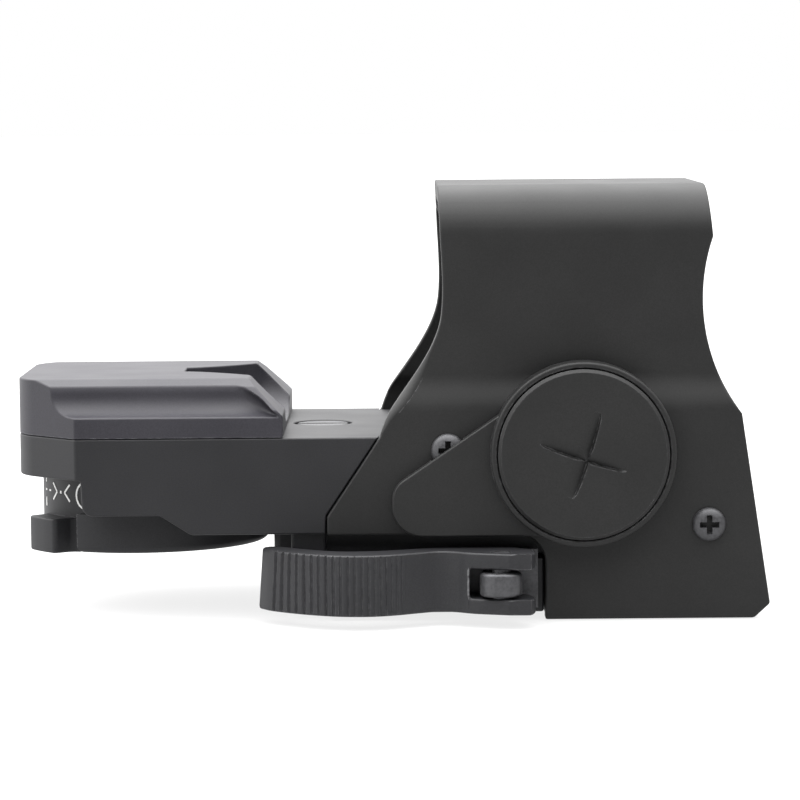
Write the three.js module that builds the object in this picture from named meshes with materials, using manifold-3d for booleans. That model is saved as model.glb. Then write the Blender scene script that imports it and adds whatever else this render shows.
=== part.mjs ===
// Rail-mounted open reflex sight: a rear emitter module on an arm, a protective hood round a
// tilted lens, and a quick-release clamp underneath.
// Millimetres. +X points forward to the target, +Y to the shooter's left, +Z up. Inside the
// sight group X = 0 is the cross bolt and Z = 0 the rail seat. The group is moved along X so that
// the model's origin is the middle of the rail seat.
import * as THREE from 'three';
import { mergeVertices } from 'three/addons/utils/BufferGeometryUtils.js';
import Module from 'manifold-3d';

const wasm = await Module();
wasm.setup();

// ---------------------------------------------------------------- driving dimensions
const DEG = Math.PI / 180;
const SEAM = 0.15; // visible joint between two castings
const SEAT_REAR_X = -25.2;
const SEAT_FRONT_X = 35.4;
const SEAT_MIDDLE_X = (SEAT_REAR_X + SEAT_FRONT_X) / 2;

// hood
const FOOT_Z = -7; // underside of the side plates
const HOOD_TOP_Z = 53.3;
const PLATE_HALF = 23; // outer face of the lower side plates
const PLATE_INNER_HALF = 20.4;
const WALL_HALF = 21.8; // outer face of the upper walls
const WALL_INNER_HALF = 19.2;
const HOOD_TOP_RADIUS = 7.2;
const HOOD_TOP_THICKNESS = 2.6;
const HOOD_REAR_X = -8.1;
const HOOD_FRONT_TOP_X = 28.85;
const HOOD_REAR_RADIUS = 18;
const HOOD_REAR_LEAN = 33.8 * DEG; // slope of the rear edge from the vertical
const PLATE_REAR_X = -24.25;
const PLATE_REAR_Z = 7.6; // where the sloping rear edge turns vertical
const WINDOW_TOP_Z = 5; // lever window in the near side plate
const WINDOW_FRONT_X = 6;
const BROW_Z = 46.1; // where the front edge's brow turns into its concave sweep
const FRONT_RADIUS = 26.6; // concave sweep of the front edge
const FRONT_WAIST_X = 28.1;
const FRONT_WAIST_Z = 37.5;
const SWEEP_TOE_Z = 22.3;
const FRONT_SWEEP_END = [33.45, 20.7]; // where the sweep runs into the straight lower edge
const FRONT_FOOT_X = 37.3;

// arm and lower housing
const ARM_HALF = 22.3;
const DECK_Z = 18.6;
const ARM_BOTTOM_Z = 5.1;
const SKIRT_BOTTOM_Z = 7.8;
const REAR_BOTTOM_Z = 12.8;
const REAR_X = -68;
const REAR_FACE_HALF = 13.5;
const REAR_CHAMFER = ARM_HALF - REAR_FACE_HALF;
const CORE_HALF = PLATE_INNER_HALF - SEAM;
const PLATFORM_TOP_Z = 23.2;

// rear cover
const COVER_TOP_Z = 26.5;
const COVER_FRONT_X = -30.3;
const LEDGE_Z = 21.5;
const SCOOP_FRONT_X = -32; // end wall of the hollow along each upper side
const SHELL = 1.4;

// reticle selector
const SELECTOR_X = -51.3;
const DRUM_RADIUS = 14.55;
const BASE_RADIUS = 18.15;
const BASE_BOTTOM_Z = 2;
const BASE_TOP_Z = 7.5;
const BASE_GAP_ANGLE = 62.5 * DEG; // half of the open sector for the tab
const TAB_ANGLE = 38.1 * DEG;
const TAB_HALF_ANGLE = 10.6 * DEG;
const TAB_RADIUS = 17.9;
const SELECTOR_STEP = 25.4; // degrees between reticles

// emitter
const MASK_RADIUS = 4.6;
const EMITTER_Z = 22.9;

// lens
const LENS_X = 23.6;
const LENS_Z = 37;
const LENS_TILT = 5.1 * DEG;
const LENS_WIDTH = 33;
const LENS_HEIGHT = 24.4;
const LENS_THICKNESS = 3;
const LENS_CURVE = 138;

// battery compartment
const BATTERY_X = 11.26;
const BATTERY_Z = 16.4;
const CAP_RADIUS = 11.85;
const BEAD_RADIUS = 12.8;
const CELL_RADIUS = 10;
const BOSS_FACE_Y = -25.3;
const CAP_FACE_Y = -27.4;

// clamp
const BOLT_X = -0.3;
const BOLT_Z = -1.1;
const BOLT_RADIUS = 2.3;
const EYE_HALF = 1.65;
const PIVOT_Y = -28.9;
const CAM_RADIUS = 4.75;
const CAM_LIFT = 1;
const LEVER_INNER_Y = -23.1;
const LEVER_BOTTOM_Z = -5.2;
const LEVER_TOP_Z = 3.3;
const FORK_LOW_Z = -3.05;
const FORK_HIGH_Z = 1.05;
const LIP_HALF = 9.45; // half the gap between the jaw lips
const RAIL_HALF = 10.75; // half the rail's widest part, with clearance
const SEAT_HALF = 7.75;

// fasteners
const HOOD_SCREW_FRONT = [28.77, 6.2];
const HOOD_SCREW_REAR = [-7.4, 16.8];
const SCREW_HEAD_RADIUS = 2.32;
const ADJUSTER_X = -25.2;
const LIFT_SPRING_X = -26;
const WINDAGE_X = -27.5;
const WINDAGE_Z = 11.2;
const COVER_SCREW_X = -62.6;
const COVER_SCREW_YS = [-14, 14];
const DETENT_BALL = [SELECTOR_X + 4.2, 10.6];

// ---------------------------------------------------------------- materials
const matte = (color, roughness = 0.6, metalness = 0.3) => () =>
  new THREE.MeshStandardMaterial({ color, roughness, metalness });
const blackAnodised = matte(0x38383a, 0.55, 0.4);
const blackCoat = matte(0x3c3c40, 0.6, 0.3);
const blackSteel = matte(0x2e2e30, 0.45, 0.7);
const brightSteel = matte(0xa8a9ab, 0.3, 1);
const rubber = matte(0x1f1f20, 0.9, 0);
const greenBoard = matte(0x1f5a37, 0.6, 0);
const redLens = matte(0x8c2a20, 0.2, 0);
const brass = matte(0xb38a3c, 0.35, 1);
const glass = () =>
  new THREE.MeshStandardMaterial({
    color: 0x9fb3b8, roughness: 0.05, metalness: 0, transparent: true, opacity: 0.4,
  });

// ---------------------------------------------------------------- shapes and solids
function solidFrom(geometry) {
  const bare = geometry.index ? geometry.toNonIndexed() : geometry;
  bare.deleteAttribute('normal');
  bare.deleteAttribute('uv');
  const merged = mergeVertices(bare, 1e-4);
  const mesh = new wasm.Mesh({
    numProp: 3,
    vertProperties: new Float32Array(merged.attributes.position.array),
    triVerts: new Uint32Array(merged.index.array),
  });
  mesh.merge();
  return new wasm.Manifold(mesh);
}

// A closed outline through [x, y, radius] corners; a corner without a radius stays sharp.
function outline(corners) {
  const shape = new THREE.Shape();
  const points = corners.map(([x, y]) => new THREE.Vector2(x, y));
  corners.forEach(([, , radius = 0], i) => {
    const corner = points[i];
    const back = points.at(i - 1).clone().sub(corner).normalize();
    const ahead = points[(i + 1) % points.length].clone().sub(corner).normalize();
    const half = Math.acos(THREE.MathUtils.clamp(back.dot(ahead), -1, 1)) / 2;
    const reach = radius / Math.tan(half);
    const start = corner.clone().addScaledVector(back, reach);
    const end = corner.clone().addScaledVector(ahead, reach);
    if (i === 0) shape.moveTo(start.x, start.y);
    else shape.lineTo(start.x, start.y);
    if (radius === 0) return;
    const bisector = back.clone().add(ahead).normalize();
    const centre = corner.clone().addScaledVector(bisector, radius / Math.sin(half));
    const clockwise = back.cross(ahead) > 0;
    const from = Math.atan2(start.y - centre.y, start.x - centre.x);
    const to = Math.atan2(end.y - centre.y, end.x - centre.x);
    shape.absarc(centre.x, centre.y, radius, from, to, clockwise);
  });
  return shape;
}

const rectangle = (x0, y0, x1, y1, radius = 0) =>
  outline([[x0, y0, radius], [x1, y0, radius], [x1, y1, radius], [x0, y1, radius]]);

const circle = (x, y, radius) => new THREE.Shape().absarc(x, y, radius, 0, 2 * Math.PI);

// Shapes for a prism along x hold (y, z), along y hold (x, z) and along z hold (x, y).
const FACING = {
  x: [[0, 1, 0], [0, 0, 1], [1, 0, 0]],
  y: [[1, 0, 0], [0, 0, 1], [0, -1, 0]],
  z: [[1, 0, 0], [0, 1, 0], [0, 0, 1]],
};

function prism(axis, shape, from, to, curveSegments = 5) {
  const depth = to - from;
  const geometry = new THREE.ExtrudeGeometry(shape, { depth, bevelEnabled: false, curveSegments });
  geometry.translate(0, 0, axis === 'y' ? -to : from);
  const basis = FACING[axis].map((v) => new THREE.Vector3(...v));
  geometry.applyMatrix4(new THREE.Matrix4().makeBasis(...basis));
  return solidFrom(geometry);
}

const block = (x0, y0, z0, x1, y1, z1) => prism('z', rectangle(x0, y0, x1, y1), z0, z1);

// A round bar along an axis through the point (a, b) of the plane across it.
const bar = (axis, a, b, radius, from, to, segments = 12) =>
  prism(axis, circle(a, b, radius), from, to, segments);

const mirrored = (corners) => [
  ...corners,
  ...corners.map(([y, z, r]) => [-y, z, r]).reverse(),
];

const unite = (...solids) => solids.reduce((whole, solid) => whole.add(solid));
const cut = (solid, ...tools) => tools.reduce((rest, tool) => rest.subtract(tool), solid);

class Helix extends THREE.Curve {
  constructor(radius, height, turns) {
    super();
    Object.assign(this, { radius, height, turns });
  }

  getPoint(t, target = new THREE.Vector3()) {
    const angle = 2 * Math.PI * this.turns * t;
    const { radius, height } = this;
    return target.set(radius * Math.cos(angle), radius * Math.sin(angle), height * t);
  }
}

function coil(radius, wire, height, turns) {
  const extrudePath = new Helix(radius, height - 2 * wire, turns);
  const section = circle(0, 0, wire);
  const geometry = new THREE.ExtrudeGeometry(section, {
    extrudePath, steps: Math.round(turns * 10), curveSegments: 3, bevelEnabled: false,
  });
  geometry.translate(0, 0, wire);
  return solidFrom(geometry);
}

// ---------------------------------------------------------------- pieces
const sight = new THREE.Group();
sight.position.x = -SEAT_MIDDLE_X;

function addPiece(name, solid, makeMaterial, parent = sight) {
  const { vertProperties, triVerts } = solid.getMesh();
  const geometry = new THREE.BufferGeometry();
  geometry.setAttribute('position', new THREE.BufferAttribute(vertProperties, 3));
  geometry.setIndex(new THREE.BufferAttribute(triVerts, 1));
  geometry.computeVertexNormals();
  const mesh = new THREE.Mesh(geometry, makeMaterial());
  mesh.name = name;
  parent.add(mesh);
  return mesh;
}

function hoodSideOutline() {
  const lean = Math.tan(HOOD_REAR_LEAN);
  const bendZ = PLATE_REAR_Z + (HOOD_REAR_X - PLATE_REAR_X) / lean;
  const shape = new THREE.Shape();
  const sweepX = FRONT_WAIST_X + FRONT_RADIUS;
  const browAngle = Math.PI - Math.asin((BROW_Z - FRONT_WAIST_Z) / FRONT_RADIUS);
  const toeAngle = Math.PI + Math.asin((FRONT_WAIST_Z - SWEEP_TOE_Z) / FRONT_RADIUS);
  shape.moveTo(PLATE_REAR_X, FOOT_Z);
  shape.lineTo(FRONT_FOOT_X - 2.2, FOOT_Z);
  shape.lineTo(FRONT_FOOT_X - 0.5, FOOT_Z + 0.7);
  shape.lineTo(FRONT_FOOT_X, FOOT_Z + 2);
  shape.lineTo(...FRONT_SWEEP_END);
  shape.absarc(sweepX, FRONT_WAIST_Z, FRONT_RADIUS, toeAngle, browAngle, true);
  shape.lineTo(HOOD_FRONT_TOP_X, HOOD_TOP_Z);
  shape.lineTo(HOOD_REAR_X, HOOD_TOP_Z);
  const reach = HOOD_REAR_RADIUS * Math.tan(HOOD_REAR_LEAN / 2);
  const centreX = HOOD_REAR_X - HOOD_REAR_RADIUS;
  shape.lineTo(HOOD_REAR_X, bendZ + reach);
  shape.absarc(centreX, bendZ + reach, HOOD_REAR_RADIUS, 0, -HOOD_REAR_LEAN, true);
  shape.lineTo(PLATE_REAR_X, PLATE_REAR_Z);
  return shape;
}

function hoodSection() {
  const topInner = HOOD_TOP_Z - HOOD_TOP_THICKNESS;
  const outer = [
    [PLATE_HALF, FOOT_Z], [PLATE_HALF, 22.4], [PLATE_HALF - 0.35, 23.9], [WALL_HALF + 0.25, 25.6],
    [WALL_HALF, 27.2], [WALL_HALF, HOOD_TOP_Z, HOOD_TOP_RADIUS],
  ];
  const inner = [
    [WALL_INNER_HALF, topInner, HOOD_TOP_RADIUS - HOOD_TOP_THICKNESS], [WALL_INNER_HALF, 24],
    [PLATE_INNER_HALF, 21], [PLATE_INNER_HALF, FOOT_Z],
  ];
  const arch = mirrored(outer);
  const hollow = mirrored([...inner].reverse());
  return { arch: outline(arch), hollow: outline(hollow) };
}

const leverWindow = outline([
  [PLATE_REAR_X - 4, FOOT_Z - 2], [WINDOW_FRONT_X, FOOT_Z - 2],
  [WINDOW_FRONT_X, WINDOW_TOP_Z, 4], [PLATE_REAR_X - 4, WINDOW_TOP_Z],
]);

function makeHood() {
  const { arch, hollow } = hoodSection();
  const side = prism('y', hoodSideOutline(), -30, 30, 8);
  const tunnel = cut(prism('x', arch, -40, 50), prism('x', hollow, -41, 51));
  const pocketBoss = bar('y', BATTERY_X, BATTERY_Z, 11.9, -21, -18.5, 20);
  const nearHole = (x, z, radius) => bar('y', x, z, radius, -24, -19);
  const farHole = (x, z, radius) => bar('y', x, z, radius, 19, 24);
  return cut(
    unite(tunnel.intersect(side), pocketBoss),
    prism('y', leverWindow, -30, 0),
    bar('y', BATTERY_X, BATTERY_Z, 10.7, -24, -19.6, 20),
    ...[HOOD_SCREW_FRONT, HOOD_SCREW_REAR].flatMap(([x, z]) => [
      nearHole(x, z, 1.3), farHole(x, z, 1.3),
    ]),
    farHole(BOLT_X, BOLT_Z, 4.2),
  );
}

// Seen from above, the arm and its cover end at the rear in a flat face with chamfered corners.
const armPlan = outline([
  [0, ARM_HALF], [REAR_X + REAR_CHAMFER, ARM_HALF], [REAR_X, REAR_FACE_HALF, 5],
  [REAR_X, -REAR_FACE_HALF, 5], [REAR_X + REAR_CHAMFER, -ARM_HALF], [0, -ARM_HALF],
]);

function makeMainBody() {
  const deckEdge = (z) =>
    PLATE_REAR_X - SEAM + Math.max(0, z - PLATE_REAR_Z) * Math.tan(HOOD_REAR_LEAN);
  const shelfX = -57.9; // step up from the skirt to the rear box
  const arm = prism('y', outline([
    [REAR_X - 1, DECK_Z], [REAR_X - 1, REAR_BOTTOM_Z], [shelfX, REAR_BOTTOM_Z],
    [shelfX, SKIRT_BOTTOM_Z, 1.7], [-47.5, SKIRT_BOTTOM_Z], [-43.2, ARM_BOTTOM_Z],
    [deckEdge(0), ARM_BOTTOM_Z], [deckEdge(0), PLATE_REAR_Z], [deckEdge(DECK_Z), DECK_Z],
  ]), -30, 30).intersect(prism('z', armPlan, 0, 30));
  const core = prism('y', outline([
    [-32, DECK_Z], [-32, 5.6], [SEAT_REAR_X, ARM_BOTTOM_Z], [SEAT_REAR_X, -6.6],
    [36.3, -6.6], [32.7, DECK_Z],
  ]), -CORE_HALF, CORE_HALF);
  const platformHalf = WALL_INNER_HALF - SEAM;
  const platform = prism('y', outline([
    [8.4, DECK_Z - 1], [32.8, DECK_Z - 1], [32.6, 19.4], [31, PLATFORM_TOP_Z],
    [13, PLATFORM_TOP_Z], [8.4, DECK_Z],
  ]), -platformHalf, platformHalf);
  const post = block(-29.3, -21.3, -1, -24.4, -10, 6);
  const rearPad = block(-32.2, -8, 1, SEAT_REAR_X + 1, 19.5, 6);
  const groove = prism('x', outline([
    [-SEAT_HALF, 0], [SEAT_HALF, 0], [RAIL_HALF, -3], [RAIL_HALF, -3.2], [LIP_HALF, -4.5],
    [LIP_HALF, -9], [-RAIL_HALF - 0.1, -9], [-RAIL_HALF - 0.1, -3.1],
  ]), -40, 45);
  const jawBay = prism('x', outline([
    [-SEAT_HALF, -0.1], [-9, 0.9], [-9, 1.9], [-23, 1.9], [-23, -9], [-SEAT_HALF, -9],
  ]), -30, WINDOW_FRONT_X);
  const electronicsBay = prism('z', outline([
    [-65, -12, 2], [-61, -17, 2], [-33.4, -17, 2], [-33.4, 17, 2], [-61, 17, 2], [-65, 12, 2],
  ]), 14.4, 30);
  return cut(
    unite(arm, core, platform, post, rearPad),
    groove,
    jawBay,
    electronicsBay,
    bar('z', SELECTOR_X, 0, DRUM_RADIUS + 0.5, 0, 12.5, 18),
    bar('z', SELECTOR_X, 0, BASE_RADIUS + 0.35, 0, BASE_TOP_Z + 0.1, 20),
    bar('z', SELECTOR_X, 0, 2.3, 12, 15),
    block(-37.5, -5.5, 9.6, -33, 5.5, 20), // way down for the carriage's leg
    block(-33.5, -5.5, 8.2, -20, 5.5, 13.4), // bay of the two adjusting stages
    bar('z', LIFT_SPRING_X, 0, 1.7, 5.9, 9, 8), // seat of the elevation spring
    bar('y', WINDAGE_X, WINDAGE_Z, 1.7, -8.2, -5, 8), // seat of the windage spring
    bar('z', ADJUSTER_X, 0, 4.2, DECK_Z - 1.2, DECK_Z + 1, 14),
    bar('z', ADJUSTER_X, 0, 1.75, 12, DECK_Z, 8),
    bar('y', WINDAGE_X, WINDAGE_Z, 3.5, ARM_HALF - 1.2, ARM_HALF + 1, 12),
    bar('y', WINDAGE_X, WINDAGE_Z, 1.65, 5, ARM_HALF, 8),
    bar('y', BOLT_X, BOLT_Z, BOLT_RADIUS + 0.2, -24, 24, 10),
    block(BOLT_X - 2.6, -8.5, BOLT_Z, BOLT_X + 2.6, 8.5, 0.3), // clears the bolt where it crosses the seat
    bar('y', BATTERY_X, BATTERY_Z, 12.2, -21, -18.2, 18), // room for the hood's battery pocket
    ...[HOOD_SCREW_FRONT, HOOD_SCREW_REAR].flatMap(([x, z]) => [
      bar('y', x, z, 1.3, -21, -16, 5), bar('y', x, z, 1.3, 16, 21, 5),
    ]),
    ...COVER_SCREW_YS.flatMap((y) => [
      bar('z', COVER_SCREW_X, y, 1.2, 12, 19, 6),
      bar('z', COVER_SCREW_X, y, 2.1, 12, REAR_BOTTOM_Z + 1.2, 6),
    ]),
    bar('z', ...DETENT_BALL, 0.95, 12, 14.6, 6),
  );
}

// A closed skin through rings of equal point count, with flat ends.
function loft(rings) {
  const count = rings[0].length;
  const positions = rings.flat(2);
  const index = [];
  for (let r = 0; r + 1 < rings.length; r += 1) {
    for (let i = 0; i < count; i += 1) {
      const a = r * count + i;
      const b = r * count + ((i + 1) % count);
      index.push(a, b, a + count, b, b + count, a + count);
    }
  }
  const last = (rings.length - 1) * count;
  for (let i = 1; i + 1 < count; i += 1) {
    index.push(0, i + 1, i, last, last + i, last + i + 1);
  }
  const geometry = new THREE.BufferGeometry();
  geometry.setAttribute('position', new THREE.Float32BufferAttribute(positions, 3));
  geometry.setIndex(index);
  return solidFrom(geometry);
}

// Trumpet-shaped light channel in the cover's top, from the emitter window to the front.
function lightChannel() {
  const start = -45;
  const flare = 10.5; // length over which the channel widens
  const length = 16;
  const topZ = COVER_TOP_Z + 1;
  const corners = 10;
  const squareness = 0.7; // below 1 makes the half-ellipse section boxier
  const rings = [0, 1, 4, 7, 9, flare, length].map((step) => {
    const half = 2.2 + 9.4 * Math.min(step / flare, 1) ** 1.5;
    const floor = 22.3 - 1.9 * (step / length);
    return Array.from({ length: corners + 1 }, (_, i) => {
      const angle = Math.PI * (1 + i / corners);
      const across = Math.sign(Math.cos(angle)) * Math.abs(Math.cos(angle)) ** squareness;
      const down = Math.abs(Math.sin(angle)) ** squareness;
      return [start + step, half * across, topZ - (topZ - floor) * down];
    });
  });
  return loft(rings);
}

function makeCover() {
  const bottom = DECK_Z + SEAM;
  const profile = prism('y', outline([
    [REAR_X - 1, bottom], [COVER_FRONT_X, bottom], [COVER_FRONT_X, 21.65],
    [COVER_FRONT_X - 4.85, COVER_TOP_Z], [REAR_X - 1, COVER_TOP_Z],
  ]), -30, 30);
  const footprint = prism('z', armPlan, 10, 40);
  const rounding = prism('x', outline(mirrored([
    [-ARM_HALF, 10], [-ARM_HALF + 0.15, LEDGE_Z], [-19.3, LEDGE_Z + 4], [-18, 26.1],
    [-16.3, COVER_TOP_Z],
  ])), -80, -20);
  const scoopSide = [[-30, LEDGE_Z - 0.1], [-22, LEDGE_Z - 0.1], [-20.4, LEDGE_Z + 0.6],
    [-19.3, LEDGE_Z + 1.9], [-18.9, LEDGE_Z + 3.4], [-18.7, 25.6], [-17.6, 27], [-30, 27]];
  const scoopLength = prism('y', outline([
    [-80, 20], [SCOOP_FRONT_X, 20], [SCOOP_FRONT_X, 22.9, 1], [SCOOP_FRONT_X - 4, 27], [-80, 27],
  ]), -30, 30);
  const scoops = [scoopSide, scoopSide.map(([y, z]) => [-y, z]).reverse()]
    .map((side) => prism('x', outline(side), -80, -30).intersect(scoopLength));
  const rearRoom = prism('z', outline([
    [-65.6, -11.5], [-61.5, -16.4], [-46.4, -16.4], [-46.4, 16.4], [-61.5, 16.4], [-65.6, 11.5],
  ]), 10, COVER_TOP_Z - SHELL + 0.2);
  const frontRoom = block(-47, -16.4, 10, -32, 16.4, 19.2); // under the light channel
  return cut(
    profile.intersect(footprint).intersect(rounding),
    ...scoops,
    lightChannel(),
    rearRoom,
    frontRoom,
    block(-47, -1.8, EMITTER_Z - 0.6, -44, 1.8, EMITTER_Z + 0.6),
  );
}

function sector(radius, inner, from, to, steps) {
  const shape = new THREE.Shape();
  for (let i = 0; i <= steps; i += 1) {
    const angle = from + ((to - from) * i) / steps;
    const x = SELECTOR_X + radius * Math.cos(angle);
    const y = radius * Math.sin(angle);
    if (i === 0) shape.moveTo(x, y);
    else shape.lineTo(x, y);
  }
  for (let i = steps; i >= 0; i -= 1) {
    const angle = from + ((to - from) * i) / steps;
    shape.lineTo(SELECTOR_X + inner * Math.cos(angle), inner * Math.sin(angle));
  }
  return shape;
}

function makeSelectorBase() {
  const reach = Math.PI - BASE_GAP_ANGLE;
  const wall = prism('z', sector(BASE_RADIUS, DRUM_RADIUS + 0.3, -reach, reach, 30),
    BASE_BOTTOM_Z, BASE_TOP_Z);
  const plate = bar('z', SELECTOR_X, 0, 13.2, BASE_BOTTOM_Z, 3, 18);
  const bridge = prism('z', sector(BASE_RADIUS - 0.5, 12, -reach, reach, 30), BASE_BOTTOM_Z, 3);
  return cut(
    unite(wall, plate, bridge),
    bar('z', SELECTOR_X, 0, 2.2, 0, 4),
    ...[-16.5, 16.5].map((y) => bar('z', SELECTOR_X + 2, y, 0.8, 5, 8, 4)),
  );
}

function makeSelectorKnob() {
  const drum = cut(
    bar('z', SELECTOR_X, 0, DRUM_RADIUS, 3.2, 12.3, 20),
    bar('z', SELECTOR_X, 0, 11.4, 3, 10.8, 16),
  );
  const hub = bar('z', SELECTOR_X, 0, 4, 3.2, 11, 8);
  const middle = Math.PI + TAB_ANGLE;
  const tabShape = (inner) =>
    sector(TAB_RADIUS, inner, middle - TAB_HALF_ANGLE, middle + TAB_HALF_ANGLE, 6);
  const tab = unite(
    prism('z', tabShape(DRUM_RADIUS - 0.6), 3.2, 6.4),
    prism('z', tabShape(DRUM_RADIUS - 0.1), 1.5, 3.3),
  );
  return cut(unite(drum, hub, tab), bar('z', SELECTOR_X, 0, 2.05, 3, 13));
}

const makeSelectorShaft = () => unite(
  bar('z', SELECTOR_X, 0, 1.95, 3.2, 14.7, 8),
  bar('z', SELECTOR_X, 0, 1.3, 14.6, 16.6, 8),
);

const makeMaskDrum = () => cut(
  bar('z', SELECTOR_X, 0, MASK_RADIUS, 14.8, 23.5, 14),
  bar('z', SELECTOR_X, 0, MASK_RADIUS - 0.7, 16, 24, 14),
  bar('z', SELECTOR_X, 0, 1.4, 14, 17, 8),
  ...[0, 1, 2, 3].map((position) =>
    bar('x', 0, EMITTER_Z - 0.2, 0.3, 3, 7, 3)
      .rotate([0, 0, position * SELECTOR_STEP]).translate([SELECTOR_X, 0, 0])),
);

const makeCircuitBoard = () => cut(
  prism('z', rectangle(-61, -15.5, -38, 15.5, 2), 14.5, 15.3),
  bar('z', SELECTOR_X, 0, 6.8, 14, 16, 12),
);

function makeCarriage() {
  const plate = cut(
    prism('z', rectangle(-62, -9, -34.4, 9, 1.5), 16.4, 17.8),
    bar('z', SELECTOR_X, 0, 6.9, 16, 18, 12),
  );
  return unite(
    plate,
    block(-36.4, -2.4, 10.4, -34.4, 2.4, 17),
    block(-36.4, -2.4, 10.4, -22.4, 2.4, 12),
    block(-61.5, -3, 17, -59.5, 3, 24.7),
    block(-61, -1.6, 24.1, -49.6, 1.6, 24.7),
  );
}

const makeStage = () => cut(
  block(-30.6, -2.9, 8.9, -21.4, 2.9, 10.2),
  block(-31, -1, 9.9, -21, 1, 11),
);

const makeEmitter = () => unite(
  bar('x', 0, EMITTER_Z, 0.9, -52.6, -50.6, 8),
  block(-52.6, -0.8, EMITTER_Z, -51.2, 0.8, 24),
);

// The head spans headFrom to headTo, outwards, and the shank runs inwards to shankEnd.
function makeSlottedScrew(axis, a, b, headRadius, headFrom, headTo, shankRadius, shankEnd) {
  const head = bar(axis, a, b, headRadius, headFrom, headTo, 14);
  const shank = bar(axis, a, b, shankRadius, shankEnd, headFrom + 0.1, 8);
  const across = headRadius + 1;
  const slot = prism(axis, rectangle(a - across, b - 0.45, a + across, b + 0.45),
    headTo - 0.5, headTo + 1);
  return cut(unite(head, shank), slot);
}

function makePanScrew([x, z], side) {
  const face = PLATE_HALF + 0.03;
  const span = (from, to) => (side < 0 ? [-to, -from] : [from, to]);
  const head = bar('y', x, z, SCREW_HEAD_RADIUS, ...span(face, face + 0.7), 12);
  const crown = bar('y', x, z, SCREW_HEAD_RADIUS - 0.5, ...span(face + 0.6, face + 1.2), 12);
  const shank = bar('y', x, z, 1.1, ...span(17, face + 0.1), 5);
  const recess = [[1.3, 0.3], [0.3, 1.3]].map(([across, up]) =>
    prism('y', rectangle(x - across, z - up, x + across, z + up), ...span(face + 0.5, face + 2)));
  return cut(unite(head, crown, shank), ...recess);
}

// ---------------------------------------------------------------- lens group
// Rounded slab across X whose two faces are parts of spheres bulging forward.
function makeLens() {
  const columns = 12;
  const rows = 8;
  const half = LENS_THICKNESS / 2;
  const sag = (y, z) => -(y * y + z * z) / (2 * LENS_CURVE);
  const positions = [];
  for (const face of [-half, half]) {
    for (let j = 0; j <= rows; j += 1) {
      for (let i = 0; i <= columns; i += 1) {
        const y = LENS_WIDTH * (i / columns - 0.5);
        const z = LENS_HEIGHT * (j / rows - 0.5);
        positions.push(face + sag(y, z), y, z);
      }
    }
  }
  const at = (face, i, j) => face * (columns + 1) * (rows + 1) + j * (columns + 1) + i;
  const index = [];
  const quad = (a, b, c, d) => index.push(a, b, c, a, c, d);
  for (let j = 0; j < rows; j += 1) {
    for (let i = 0; i < columns; i += 1) {
      quad(at(0, i, j), at(0, i, j + 1), at(0, i + 1, j + 1), at(0, i + 1, j));
      quad(at(1, i, j), at(1, i + 1, j), at(1, i + 1, j + 1), at(1, i, j + 1));
    }
  }
  for (let i = 0; i < columns; i += 1) {
    quad(at(0, i, 0), at(0, i + 1, 0), at(1, i + 1, 0), at(1, i, 0));
    quad(at(0, i, rows), at(1, i, rows), at(1, i + 1, rows), at(0, i + 1, rows));
  }
  for (let j = 0; j < rows; j += 1) {
    quad(at(0, 0, j), at(1, 0, j), at(1, 0, j + 1), at(0, 0, j + 1));
    quad(at(0, columns, j), at(0, columns, j + 1), at(1, columns, j + 1), at(1, columns, j));
  }
  const geometry = new THREE.BufferGeometry();
  geometry.setAttribute('position', new THREE.Float32BufferAttribute(positions, 3));
  geometry.setIndex(index);
  const corners = prism('x', rectangle(-LENS_WIDTH / 2, -LENS_HEIGHT / 2, LENS_WIDTH / 2,
    LENS_HEIGHT / 2, 3.5), -10, 10, 3);
  return solidFrom(geometry).intersect(corners);
}

const tilted = (solid) => solid.rotate([0, -LENS_TILT / DEG, 0]).translate([LENS_X, 0, LENS_Z]);
const lensOpening = (grow, radius) =>
  rectangle(-LENS_WIDTH / 2 - grow, -LENS_HEIGHT / 2 - grow, LENS_WIDTH / 2 + grow,
    LENS_HEIGHT / 2 + grow, radius);

function makeLensFrame() {
  const half = WALL_INNER_HALF - SEAM;
  const top = HOOD_TOP_Z - HOOD_TOP_THICKNESS - SEAM;
  const radius = HOOD_TOP_RADIUS - HOOD_TOP_THICKNESS;
  const body = prism('x', outline([
    [-half, PLATFORM_TOP_Z + SEAM], [half, PLATFORM_TOP_Z + SEAM], [half, top, radius],
    [-half, top, radius],
  ]), 19.2, 27.4);
  return cut(
    body,
    tilted(prism('x', lensOpening(-1.1, 2.5), -10, 10)),
    tilted(prism('x', lensOpening(0.3, 3.5), -LENS_THICKNESS / 2 - 1.6, 10)),
    bar('y', BATTERY_X, BATTERY_Z, 12.2, -21, -18.2, 18), // clear of the battery pocket
  );
}

const makeLensRetainer = () => tilted(cut(
  prism('x', lensOpening(0.1, 3.5), LENS_THICKNESS / 2 + 0.1, LENS_THICKNESS / 2 + 1.3),
  prism('x', lensOpening(-1.1, 2.5), 0, 10),
));

// ---------------------------------------------------------------- battery compartment
function makeBatteryHousing() {
  const face = BOSS_FACE_Y;
  const back = -PLATE_HALF - 0.05;
  const boss = unite(
    prism('y', outline([
      [-15.2, 4.98, 4.2], [8, 4.98], [12, 8], [12, 20], [0.5, 22.4], [-15.2, 11.8, 3.5],
    ]), face, back),
    bar('y', BATTERY_X, BATTERY_Z, BEAD_RADIUS, face - 1.7, back, 22),
  );
  return cut(
    boss,
    bar('y', BATTERY_X, BATTERY_Z, 10.5, -30, -20, 18),
    bar('y', BATTERY_X, BATTERY_Z, CAP_RADIUS + 0.2, -30, face, 20),
    bar('y', ...HOOD_SCREW_REAR, 2.7, -24.5, -22),
  );
}

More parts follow.
